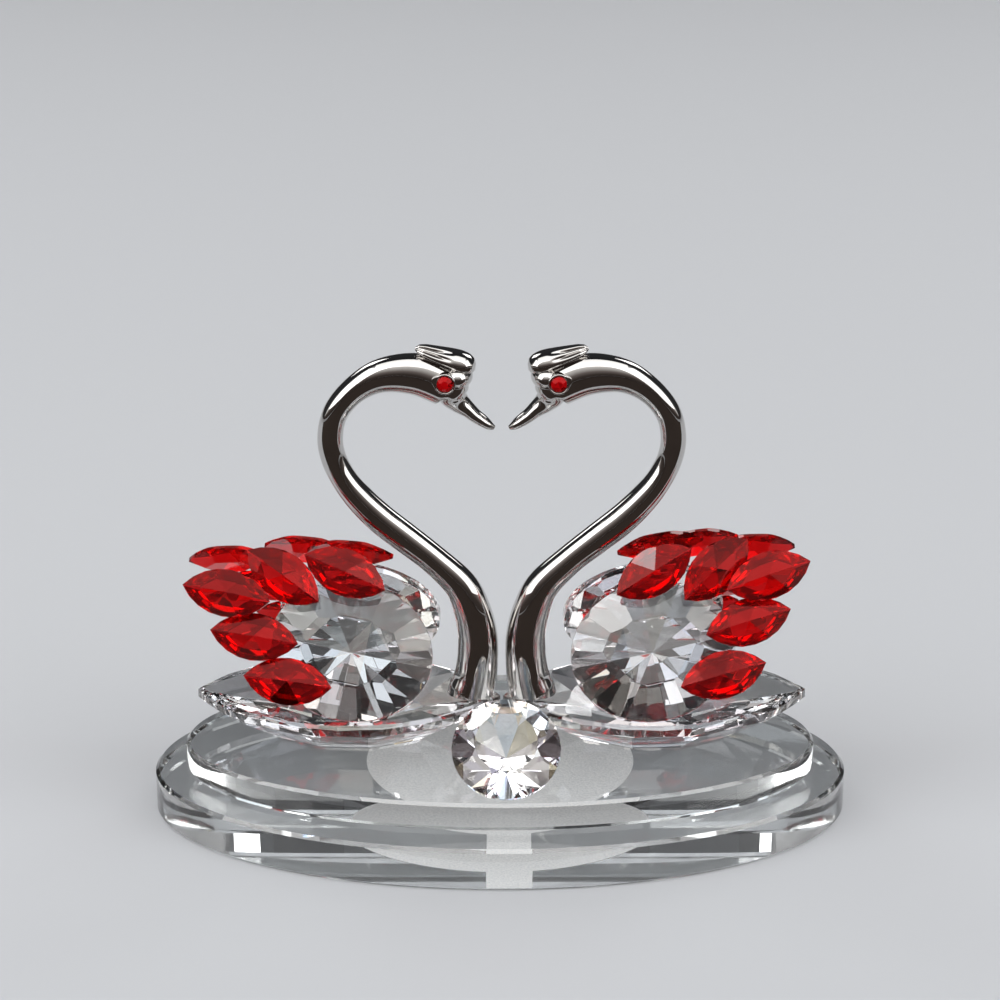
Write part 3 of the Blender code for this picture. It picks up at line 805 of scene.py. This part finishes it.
@dataclass
class WingStone:
    """One large oval wing stone: broad crown facets, a small table and a star-cut back."""

    swan: str
    facing: Facing
    side: Side
    cut: OvalCut = OvalCut(37.4 * MM, 31.6 * MM)
    girdle: float = 2.2 * MM
    crown_height: float = 2.87 * MM
    crown_angle: float = math.radians(19)
    crown_break: float = math.radians(10)
    star_angle: float = math.radians(8)
    star_share: float = 0.46
    back_depth: float = 7.1 * MM
    back_break_angle: float = math.radians(40)
    lean: float = math.radians(28)
    flare: float = math.radians(3)
    tilt: float = math.radians(12)
    behind_tip: float = 33.2 * MM
    from_middle: float = 12.6 * MM

    def node(self) -> str:
        """Name the CAD node that this stone stands for."""
        near = self.side.value * self.facing.value < 0
        return self.swan + "_wing_stone_" + ("front" if near else "back")

    def shape(self) -> bmesh.types.BMesh:
        """Cut the stone with its table towards +z and its girdle around z = 0."""
        half = 0.5 * self.girdle
        bm = prism(self.cut.outline(), -half - self.back_depth, half + self.crown_height)
        self.cut.grind_ring(bm, 12, 0.0, half, 1, self.crown_angle)
        self.cut.grind_ring(bm, 12, 0.5, half, 1, self.crown_angle + self.crown_break)
        top = half + self.crown_height
        self.cut.grind_ring(bm, 6, 0.5, top, 1, self.star_angle, share=self.star_share)
        self.cut.grind_ring(bm, 12, 0.5, -half, -1, rise=self.back_depth)
        self.cut.grind_ring(bm, 12, 0.0, -half, -1, self.back_break_angle)
        return bm

    def frame(self) -> Matrix:
        """Give the frame of the wing plane: x level, y up the wing, z outwards."""
        side = self.side.value
        lean = self.lean
        columns = Matrix((
            (-side, 0.0, 0.0),
            (0.0, -side * math.sin(lean), side * math.cos(lean)),
            (0.0, math.cos(lean), math.sin(lean)),
        )).to_4x4()
        neck = NeckCasting(self.swan, self.facing)
        center = Vector((0.5 * neck.boat_length - self.behind_tip, side * self.from_middle, 0.0))
        flare = Matrix.Rotation(-side * self.flare, 4, "Z")
        tilt = Matrix.Rotation(side * self.tilt, 4, "Z")
        return neck.frame() @ Matrix.Translation(center) @ flare @ columns @ tilt

    def build(self, finish: bpy.types.Material, polish: "CutStones") -> bpy.types.Object:
        """Build the stone where its CAD node stands.

        Args:
            finish: Material of the crystal.
            polish: The treatment of the stones' edges.

        Returns:
            The stone.
        """
        bm = self.shape()
        bmesh.ops.transform(bm, matrix=self.frame(), verts=bm.verts[:])
        lowest = min(vertex.co.z for vertex in bm.verts)
        seat = Vector((0.0, 0.0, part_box(self.node())[0].z - lowest))
        bmesh.ops.translate(bm, verts=bm.verts[:], vec=seat)
        stone = add_piece(self.node() + "_cut", bm, finish)
        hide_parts(self.node())
        polish.round_edges(stone, polish.edge_width)
        LOG.info("%s stands for %s", stone.name, self.node())
        return stone


@dataclass
class CutStones:
    """The stones of the figurine, kept as they were cut, with a fine polished edge."""

    edge_width: float = 0.12 * MM
    small_edge_width: float = 0.07 * MM
    edge_angle: float = math.radians(5)
    flat_angle: float = math.radians(0.6)

    def dress(self, nodes: dict[str, bpy.types.Object], finishes: Finishes) -> int:
        """Give every stone its finish and its edges.

        Args:
            nodes: The CAD nodes by name.
            finishes: The object's finishes.

        Returns:
            The number of stones.
        """
        count = 0
        for name in sorted(nodes):
            if name.endswith("_neck") or name.startswith("base_") or "_wing_stone_" in name:
                continue
            stone = nodes[name]
            width = self.edge_width
            finish = finishes.crystal
            if name == "center_brilliant":
                finish = finishes.brilliant
            elif "_feather_" in name:
                finish = finishes.ruby
                width = self.small_edge_width
            elif "_eye_" in name:
                finish = finishes.eye
                width = self.small_edge_width
            self.polish(stone, finish, width)
            LOG.info("%s is dressed as %s", name, finish.name)
            count += 1
        return count

    def polish(self, stone: bpy.types.Object, finish: bpy.types.Material, width: float) -> None:
        """Assign a finish and round the edges between facets.

        Args:
            stone: The CAD node of the stone.
            finish: Its material.
            width: Width of the rounded edge.
        """
        stone.data.materials.clear()
        stone.data.materials.append(finish)
        self.round_edges(stone, width)

    def round_edges(self, stone: bpy.types.Object, width: float) -> None:
        """Merge what one facet was cut into, and round the edges between facets.

        Args:
            stone: The stone.
            width: Width of the rounded edge.
        """
        merge = stone.modifiers.new("Merge flat faces", "DECIMATE")
        merge.decimate_type = "DISSOLVE"
        merge.angle_limit = self.flat_angle
        edge = stone.modifiers.new("Polished edge", "BEVEL")
        edge.width = width
        edge.segments = 2
        edge.limit_method = "ANGLE"
        edge.angle_limit = self.edge_angle


@dataclass(frozen=True)
class Station:
    """One section of the neck, in its swan's middle plane.

    The place is behind the breast tip and above the foot, and the half sizes are up the
    bend and across it.
    """

    behind_tip: float
    above_foot: float
    half_height: float
    half_depth: float

    def vector(self) -> Vector:
        """Give the four sizes as one vector, in metres."""
        sizes = (self.behind_tip, self.above_foot, self.half_height, self.half_depth)
        return Vector(sizes) * MM


HEAD_CROWN = Station(18.6, 76.7, 4.8, 4.3)
HEAD_FACE = Station(11.9, 74.1, 4.8, 4.7)
NECK_PATH = (
    Station(6.7, 0.0, 5.5, 5.3),
    Station(5.6, 4.5, 4.9, 4.7),
    Station(5.1, 10.2, 4.7, 4.5),
    Station(5.3, 15.2, 4.5, 4.3),
    Station(6.6, 20.9, 4.2, 4.1),
    Station(9.1, 26.4, 3.8, 3.7),
    Station(15.0, 32.3, 3.4, 3.4),
    Station(21.2, 37.3, 3.5, 3.4),
    Station(27.0, 42.0, 3.5, 3.4),
    Station(31.5, 46.5, 3.3, 3.3),
    Station(35.0, 51.0, 3.0, 3.1),
    Station(37.5, 56.2, 2.9, 3.0),
    Station(38.3, 61.5, 2.9, 3.0),
    Station(36.9, 67.5, 2.9, 3.0),
    Station(32.5, 72.9, 3.1, 3.1),
    Station(26.4, 76.3, 3.9, 3.6),
    HEAD_CROWN,
    HEAD_FACE,
    Station(10.2, 71.5, 3.1, 3.7),
    Station(9.0, 70.1, 2.4, 2.8),
    Station(7.3, 68.7, 1.85, 2.3),
    Station(5.6, 67.2, 1.55, 2.1),
    Station(3.8, 65.9, 1.35, 1.8),
    Station(2.4, 64.9, 1.0, 1.3),
    Station(1.3, 64.4, 0.45, 0.5),
)


def catmull_rom(before: Vector, here: Vector, there: Vector, beyond: Vector, t: float) -> Vector:
    """Evaluate a Catmull-Rom span between its two middle points.

    Args:
        before: Point ahead of the span.
        here: Start of the span.
        there: End of the span.
        beyond: Point after the span.
        t: Share of the way from the start to the end.

    Returns:
        The point on the curve.
    """
    slope_in = 0.5 * (there - before)
    slope_out = 0.5 * (beyond - here)
    t2 = t * t
    t3 = t2 * t
    return (here * (2 * t3 - 3 * t2 + 1) + slope_in * (t3 - 2 * t2 + t)
            + there * (3 * t2 - 2 * t3) + slope_out * (t3 - t2))


def spline(stations: tuple[Station, ...], per_span: int) -> list[Vector]:
    """Pass a smooth curve through neck stations.

    Args:
        stations: The stations in order.
        per_span: Number of steps from one station to the next.

    Returns:
        Finer stations as vectors of the four sizes.
    """
    values = [station.vector() for station in stations]
    fine = []
    for index in range(len(values) - 1):
        here = values[index]
        there = values[index + 1]
        before = values[index - 1] if index else here * 2.0 - there
        beyond = values[index + 2] if index + 2 < len(values) else there * 2.0 - here
        for step in range(per_span):
            fine.append(catmull_rom(before, here, there, beyond, step / per_span))
    fine.append(values[-1])
    return fine


@dataclass
class Crest:
    """The cap of crest feathers on the head: a smooth dome in front, ridged feathers behind.

    The heights and half widths are given at shares of the way from the rear tip to the front.
    """

    rear_behind_crown: float = 0.4 * MM
    rear_lift: float = 1.2 * MM
    front_ahead_of_face: float = 6.3 * MM
    front_above_face: float = 3.9 * MM
    shares: tuple[float, ...] = (0.0, 0.04, 0.14, 0.3, 0.5, 0.7, 0.84, 0.93, 0.98, 1.0)
    heights: tuple[float, ...] = (0.5, 1.2, 1.75, 2.2, 2.75, 3.15, 3.0, 2.4, 1.4, 0.25)
    half_widths: tuple[float, ...] = (0.7, 1.5, 2.4, 3.1, 3.6, 3.8, 3.5, 2.7, 1.5, 0.25)
    lip: float = 0.4
    grooves: tuple[float, ...] = (math.radians(24), math.radians(56))
    groove_spread: float = math.radians(5)
    groove_depth: float = 0.22
    groove_end: float = 0.62
    groove_fade: float = 0.3
    sides: int = 96
    stations: int = 64

    def at(self, share: float, sizes: tuple[float, ...]) -> float:
        """Read a size between two of its given shares, in metres.

        Args:
            share: Share of the way from the rear tip to the front.
            sizes: The heights or half widths.

        Returns:
            The smoothly blended size.
        """
        index = 0
        while index < len(self.shares) - 2 and share > self.shares[index + 1]:
            index += 1
        padded = (sizes[0], *sizes, sizes[-1])
        t = (share - self.shares[index]) / (self.shares[index + 1] - self.shares[index])
        values = [Vector((value, 0.0, 0.0)) for value in padded[index:index + 4]]
        return catmull_rom(*values, t).x * MM

    def groove(self, share: float, angle: float) -> float:
        """Tell how deep the grooves are, from 0 to 1.

        Args:
            share: Share of the way from the rear tip to the front.
            angle: Angle round the crest.

        Returns:
            The depth.
        """
        fade = min(1.0, max(0.0, (self.groove_end - share) / self.groove_fade))
        depth = 0.0
        for place in self.grooves:
            near = min(abs(angle - place), abs(angle - (math.pi - place)))
            depth = max(depth, math.exp(-0.5 * (near / self.groove_spread) ** 2))
        return fade * depth


@dataclass
class Eye:
    """The raised bezel round an eye stone."""

    behind_face: float = 0.2 * MM
    above_face: float = 1.9 * MM
    hole_radius: float = 1.95 * MM
    wall: float = 0.5 * MM
    from_middle: float = 5.0 * MM
    root: float = 2.0 * MM
    depth: float = 1.5 * MM
    corner: float = 0.28
    corner_angle: float = math.radians(160)
    corner_sharpness: int = 14
    sides: int = 72


@dataclass
class Brow:
    """The round brow between the crest and the beak."""

    ahead_of_face: float = 2.5 * MM
    above_face: float = 2.5 * MM
    length: float = 6.6 * MM
    height: float = 5.8 * MM
    width: float = 9.6 * MM
    segments: int = 48
    rings: int = 32


@dataclass
class NeckCasting:
    """One swan's neck, head, crest, brow, beak and bezels."""

    name: str
    facing: Facing
    turn: float = math.radians(3)
    pair_shift: float = 0.4 * MM
    boat_length: float = 70.0 * MM
    tip_gap: float = 0.6 * MM
    sides: int = 64
    steps_per_span: int = 8
    crease: float = math.radians(38)
    crest: Crest = field(default_factory=Crest)
    eye: Eye = field(default_factory=Eye)
    brow: Brow = field(default_factory=Brow)

    def node(self) -> str:
        """Name the CAD node that this casting stands for."""
        return self.name + "_neck"

    def frame(self) -> Matrix:
        """Give the frame of the casting: origin under the boat's middle at the foot's level."""
        middle = 0.5 * (self.boat_length + self.tip_gap)
        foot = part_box(self.node())[0].z
        place = Matrix.Translation((self.pair_shift - self.facing.value * middle, 0.0, foot))
        heading = 0.0 if self.facing is Facing.RIGHT else math.pi
        return place @ Matrix.Rotation(heading - self.facing.value * self.turn, 4, "Z")

    def head_point(self, section: Station, ahead: float, above: float) -> Vector:
        """Give a point in the swan's middle plane, measured from a neck station.

        Args:
            section: The station.
            ahead: Distance towards the breast tip.
            above: Distance upwards.

        Returns:
            The point in the casting's frame.
        """
        place = section.vector()
        return Vector((0.5 * self.boat_length - place[0] + ahead, 0.0, place[1] + above))

    def build_tube(self) -> bmesh.types.BMesh:
        """Loft the neck, head and beak."""
        points = spline(NECK_PATH, self.steps_per_span)
        centers = [Vector((0.5 * self.boat_length - p[0], 0.0, p[1])) for p in points]
        loops = []
        for index, point in enumerate(points):
            along = centers[min(index + 1, len(centers) - 1)] - centers[max(index - 1, 0)]
            along.normalize()
            if index == 0:
                along = Vector((0.0, 0.0, 1.0))
            across = Vector((along.z, 0.0, -along.x))
            loop = []
            for corner in range(self.sides):
                angle = math.tau * corner / self.sides
                offset = across * (point[2] * math.cos(angle))
                offset += Vector((0.0, 1.0, 0.0)) * (point[3] * math.sin(angle))
                loop.append(centers[index] + offset)
            loops.append(loop)
        bm = bmesh.new()
        skin_loops(bm, loops)
        return bm

    def build_crest(self) -> bmesh.types.BMesh:
        """Loft the crest with its two lengthwise grooves on each side."""
        cap = self.crest
        crown = HEAD_CROWN.vector()
        rear = self.head_point(HEAD_CROWN, -cap.rear_behind_crown, crown[2] + cap.rear_lift)
        front = self.head_point(HEAD_FACE, cap.front_ahead_of_face, cap.front_above_face)
        along = (front - rear).normalized()
        up = Vector((-along.z, 0.0, along.x))
        length = (front - rear).length
        loops = []
        for index in range(cap.stations):
            share = 0.5 - 0.5 * math.cos(math.pi * index / (cap.stations - 1))
            height = cap.at(share, cap.heights)
            half_width = cap.at(share, cap.half_widths)
            loop = []
            for corner in range(cap.sides):
                angle = math.tau * corner / cap.sides
                rise = math.sin(angle)
                depth = 1.0 - cap.groove_depth * cap.groove(share, angle)
                aside = half_width * math.cos(angle) * depth
                level = rise * height * (depth if rise > 0.0 else cap.lip)
                place = rear + along * (length * share)
                loop.append(place + Vector((0.0, aside, 0.0)) + up * level)
            loops.append(loop)
        bm = bmesh.new()
        skin_loops(bm, loops)
        return bm

    def build_brow(self) -> bmesh.types.BMesh:
        """Model the round brow."""
        brow = self.brow
        bm = bmesh.new()
        bmesh.ops.create_uvsphere(
            bm, u_segments=brow.segments, v_segments=brow.rings, radius=0.5,
        )
        bmesh.ops.scale(bm, verts=bm.verts[:], vec=(brow.length, brow.width, brow.height))
        center = self.head_point(HEAD_FACE, brow.ahead_of_face, brow.above_face)
        bmesh.ops.translate(bm, verts=bm.verts[:], vec=center)
        return bm

    def build_bezel(self, side: Side) -> bmesh.types.BMesh:
        """Turn the raised bezel of one eye, with its pointed rear corner.

        Args:
            side: Which side of the head.

        Returns:
            The bezel's mesh in the casting's frame.
        """
        eye = self.eye
        center = self.head_point(HEAD_FACE, -eye.behind_face, eye.above_face)
        outer = eye.hole_radius + eye.wall
        lip = 0.3 * eye.wall
        # Radius, level and share of the corner, from the root over the lip and down the hole
        profile = (
            (outer, eye.root, 1.0),
            (outer, eye.from_middle - 2.0 * lip, 1.0),
            (outer - 0.3 * lip, eye.from_middle - 0.7 * lip, 1.0),
            (outer - lip, eye.from_middle - 0.1 * lip, 0.9),
            (outer - 0.5 * eye.wall, eye.from_middle, 0.5),
            (eye.hole_radius + lip, eye.from_middle - 0.1 * lip, 0.15),
            (eye.hole_radius + 0.3 * lip, eye.from_middle - 0.7 * lip, 0.0),
            (eye.hole_radius, eye.from_middle - 2.0 * lip, 0.0),
            (eye.hole_radius, eye.from_middle - eye.depth, 0.0),
        )
        loops = []
        for radius, level, pull in profile:
            loop = []
            for corner in range(eye.sides):
                angle = math.tau * corner / eye.sides
                lean = max(0.0, math.cos(angle - eye.corner_angle)) ** eye.corner_sharpness
                reach = radius * (1.0 + eye.corner * pull * lean)
                x = reach * math.cos(angle)
                z = reach * math.sin(angle)
                loop.append(center + Vector((x, side.value * level, z)))
            loops.append(loop)
        bm = bmesh.new()
        skin_loops(bm, loops)
        return bm

    def build(self, finish: bpy.types.Material) -> list[bpy.types.Object]:
        """Build the casting's pieces in place of its CAD node.

        Args:
            finish: Material of the metal.

        Returns:
            The pieces.
        """
        parts = {
            "_neck_and_head": self.build_tube(),
            "_crest": self.build_crest(),
            "_brow": self.build_brow(),
            "_bezel_a": self.build_bezel(Side.MINUS_Y),
            "_bezel_b": self.build_bezel(Side.PLUS_Y),
        }
        place = self.frame()
        pieces = []
        for ending, bm in parts.items():
            bmesh.ops.transform(bm, matrix=place, verts=bm.verts[:])
            piece = add_piece(self.name + ending, bm, finish, self.crease)
            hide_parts(self.node())
            pieces.append(piece)
            LOG.info("%s stands for part of %s", piece.name, self.node())
        return pieces


def add_stage(
    name: str, bm: bmesh.types.BMesh, finish: MattFinish, hidden_from: tuple[str, ...] = (),
) -> bpy.types.Object:
    """Turn a bmesh into a part of the studio.

    Args:
        name: Name of the part.
        bm: Its mesh, which is freed.
        finish: Its finish.
        hidden_from: Kinds of rays that don't see it.

    Returns:
        The new object.
    """
    mesh = bpy.data.meshes.new(name)
    bm.to_mesh(mesh)
    bm.free()
    mesh.materials.append(finish.build())
    item = bpy.data.objects.new(name, mesh)
    for kind in hidden_from:
        setattr(item, "visible_" + kind, False)
    bpy.context.scene.collection.objects.link(item)
    return item


@dataclass
class Softbox:
    """One soft studio lamp."""

    name: str
    place: Color
    width: float
    height: float
    radiance: float
    color: Color = WHITE
    only_through_glass: bool = False
    aim: Color = (0.0, 0.0, 0.05)

    def build(self) -> None:
        """Build the lamp, aimed at its target."""
        lamp = bpy.data.lights.new(self.name, "AREA")
        lamp.shape = "RECTANGLE"
        lamp.size = self.width
        lamp.size_y = self.height
        lamp.energy = self.radiance * math.pi * self.width * self.height
        lamp.color = self.color
        holder = bpy.data.objects.new(self.name, lamp)
        holder.location = self.place
        holder.visible_camera = False
        holder.visible_diffuse = not self.only_through_glass
        holder.visible_glossy = not self.only_through_glass
        direction = Vector(self.aim) - Vector(self.place)
        holder.rotation_euler = direction.to_track_quat("-Z", "Y").to_euler()
        bpy.context.scene.collection.objects.link(holder)


@dataclass(frozen=True)
class Flag:
    """A dark flag round the object: its direction and its size, all in degrees."""

    azimuth: float
    elevation: float
    width: float
    height: float

    def corners(self, distance: float, lowest: float) -> list[Vector]:
        """List the flag's corners.

        Args:
            distance: How far it hangs from the object.
            lowest: Least height of a corner, as a share of the distance.

        Returns:
            The corners in order.
        """
        points = []
        for across, up in ((-0.5, -0.5), (0.5, -0.5), (0.5, 0.5), (-0.5, 0.5)):
            turn = math.radians(self.azimuth + across * self.width)
            rise = math.radians(self.elevation + up * self.height)
            level = math.cos(rise)
            point = Vector((math.sin(turn) * level, math.cos(turn) * level, math.sin(rise)))
            point.z = max(point.z, lowest)
            points.append(point * distance)
        return points


@dataclass
class Studio:
    """The floor, the soft light and the camera.

    The shades go round from the front, under the floor, to the rear horizon at 0 degrees, over
    the top and back to the front.
    """

    floor_radius: float = 2.4
    floor_segments: int = 256
    floor_drop: float = 0.05 * MM
    floor_finish: MattFinish = MattFinish("Pale floor", (0.53, 0.545, 0.57), 0.7)
    card_front: float = 0.06
    card_size: tuple[float, float] = (2.4, 2.0)
    card_height: float = 0.5 * MM
    card_finish: MattFinish = MattFinish("Dark card", (0.04, 0.031, 0.027), 1.0)
    camera_distance: float = 0.800
    camera_pitch: float = math.radians(20.5)
    camera_aim_height: float = 75.2 * MM
    camera_clip: float = 0.01
    lens_pixels: float = 3534.7
    photo_pixels: float = 1000.0
    sensor: float = 36.0
    softboxes: tuple[Softbox, ...] = (
        Softbox("key_softbox", (0.0, -0.72, 2.42), 3.6, 2.1, 1.3),
        Softbox("left_softbox", (-0.8, -0.4, 0.6), 0.7, 0.8, 2.3),
        Softbox("right_softbox", (0.8, -0.4, 0.6), 0.7, 0.8, 2.0),
        Softbox(
            "rear_softbox", (0.0, 2.2, 0.5), 5.0, 1.0, 1.2, (0.95, 1.0, 1.06), True,
            aim=(0.0, 0.0, 0.5),
        ),
        Softbox("rear_left_softbox", (-0.6, 0.75, 0.75), 0.35, 0.5, 3.5),
        Softbox("rear_right_softbox", (0.6, 0.75, 0.75), 0.35, 0.5, 3.5),
        Softbox("rear_top_softbox", (0.0, 1.05, 1.35), 2.4, 0.9, 1.7, WHITE, True),
        Softbox("amber_spark", (-0.42, 0.7, 0.5), 0.06, 0.05, 1.6, (1.0, 0.72, 0.25), True),
        Softbox("blue_spark", (0.3, 0.5, 0.85), 0.05, 0.07, 1.6, (0.4, 0.62, 1.0), True),
        Softbox("rose_spark", (-0.5, 0.2, 0.9), 0.06, 0.06, 1.6, (1.0, 0.5, 0.6), True),
    )
    flag_distance: float = 1.1
    flag_lowest: float = 0.002
    flag_finish: MattFinish = MattFinish("Dark flag", (0.02, 0.02, 0.022), 1.0)
    flags: tuple[Flag, ...] = (
        Flag(-62.0, 12.0, 14.0, 44.0),
        Flag(-33.0, 22.0, 9.0, 66.0),
        Flag(-9.0, 16.0, 7.0, 22.0),
        Flag(-12.0, 54.0, 10.0, 22.0),
        Flag(4.0, 44.0, 7.0, 16.0),
        Flag(19.0, 20.0, 12.0, 62.0),
        Flag(36.0, 52.0, 8.0, 24.0),
        Flag(47.0, 12.0, 10.0, 44.0),
        Flag(-50.0, 50.0, 10.0, 26.0),
        Flag(74.0, 12.0, 12.0, 44.0),
        Flag(-150.0, 60.0, 20.0, 14.0),
        Flag(-80.0, 72.0, 40.0, 10.0),
        Flag(30.0, 80.0, 60.0, 8.0),
        Flag(120.0, 66.0, 24.0, 12.0),
        Flag(175.0, 74.0, 40.0, 8.0),
    )
    shades: Stops = (
        (-180.0, (0.05, 0.04, 0.036)),
        (-30.0, (0.05, 0.04, 0.036)),
        (32.0, (0.035, 0.037, 0.041)),
        (84.0, (0.025, 0.025, 0.027)),
        (86.0, (0.3, 0.3, 0.3)),
        (126.0, (1.1, 1.08, 1.05)),
        (140.0, (0.7, 0.68, 0.66)),
        (158.0, (0.2, 0.17, 0.16)),
        (172.0, (0.06, 0.048, 0.043)),
        (180.0, (0.05, 0.04, 0.036)),
    )

    def build(self) -> None:
        """Build the whole studio."""
        self.build_floor()
        self.build_card()
        self.build_flags()
        self.build_world()
        for softbox in self.softboxes:
            softbox.build()
        self.build_camera()

    def build_floor(self) -> None:
        """Lay the plain pale floor."""
        bm = bmesh.new()
        bmesh.ops.create_circle(
            bm, cap_ends=True, segments=self.floor_segments, radius=self.floor_radius,
        )
        floor = add_stage("floor", bm, self.floor_finish)
        floor.location = (0.0, 0.0, -self.floor_drop)

    def build_card(self) -> None:
        """Lay the dark studio card before the object, which only metal and glass mirror."""
        across, deep = self.card_size
        near = -self.card_front - deep
        far = -self.card_front
        corners = (
            (-0.5 * across, near), (0.5 * across, near), (0.5 * across, far), (-0.5 * across, far),
        )
        bm = bmesh.new()
        bm.faces.new([bm.verts.new((x, y, self.card_height)) for x, y in corners])
        add_stage("dark_card", bm, self.card_finish, ("camera", "diffuse", "shadow"))

    def build_flags(self) -> None:
        """Hang the dark studio flags round the object, which only cut glass shows."""
        bm = bmesh.new()
        for flag in self.flags:
            points = flag.corners(self.flag_distance, self.flag_lowest)
            bm.faces.new([bm.verts.new(point) for point in points])
        add_stage("dark_flags", bm, self.flag_finish, ("camera", "diffuse", "glossy", "shadow"))

    def build_world(self) -> None:
        """Shade the surroundings by the angle from the rear horizon, over the top, to the front."""
        world = bpy.data.worlds.new("Studio")
        world.use_nodes = True
        bpy.context.scene.world = world
        work = NodeBuilder(world.node_tree)
        place = work.add("ShaderNodeTexCoord").outputs["Generated"]
        axes = work.add("ShaderNodeSeparateXYZ", {0: place})
        over = work.math("ARCTAN2", axes.outputs["Z"], axes.outputs["Y"])
        share = work.add("ShaderNodeMapRange", {
            "Value": over, "From Min": -math.pi, "From Max": math.pi,
        })
        ramp = work.add("ShaderNodeValToRGB", {0: share.outputs["Result"]})
        set_ramp(ramp.color_ramp, tuple(((angle + 180.0) / 360.0, c) for angle, c in self.shades))
        background = work.tree.nodes["Background"]
        work.fill(background.inputs["Color"], ramp.outputs["Color"])
        work.fill(background.inputs["Strength"], 1.0)

    def build_camera(self) -> None:
        """Set the camera at the photograph's viewing angle."""
        data = bpy.data.cameras.new("camera")
        data.sensor_width = self.sensor
        data.lens = self.sensor * self.lens_pixels / self.photo_pixels
        data.clip_start = self.camera_clip
        camera = bpy.data.objects.new("camera", data)
        away = self.camera_distance * math.cos(self.camera_pitch)
        rise = self.camera_distance * math.sin(self.camera_pitch)
        camera.location = (0.0, -away, self.camera_aim_height + rise)
        camera.rotation_euler = (0.5 * math.pi - self.camera_pitch, 0.0, 0.0)
        bpy.context.scene.collection.objects.link(camera)
        bpy.context.scene.camera = camera


def set_up_render() -> None:
    """Choose the plain view transform and enough bounces for stacked glass."""
    scene = bpy.context.scene
    scene.view_settings.view_transform = "Standard"
    scene.cycles.max_bounces = 24
    scene.cycles.glossy_bounces = 16
    scene.cycles.transmission_bounces = 24
    scene.cycles.transparent_max_bounces = 24
    scene.cycles.caustics_reflective = False
    scene.cycles.caustics_refractive = False


def main() -> None:
    """Dress the figurine in order and report each piece."""
    logging.basicConfig(level=logging.INFO, format="%(message)s")
    set_up_render()
    finishes = Finishes.build()
    SteppedBase().build(finishes.base)
    FrostedPatch().build(finishes.frost)
    stones = CutStones()
    for name, facing in (("left", Facing.RIGHT), ("right", Facing.LEFT)):
        NeckCasting(name, facing).build(finishes.chrome)
        for side in Side:
            WingStone(name, facing, side).build(finishes.crystal, stones)
    count = stones.dress(frame["nodes"], finishes)
    LOG.info("%d stones are dressed", count)
    Studio().build()


if __name__ == "__main__":
    main()
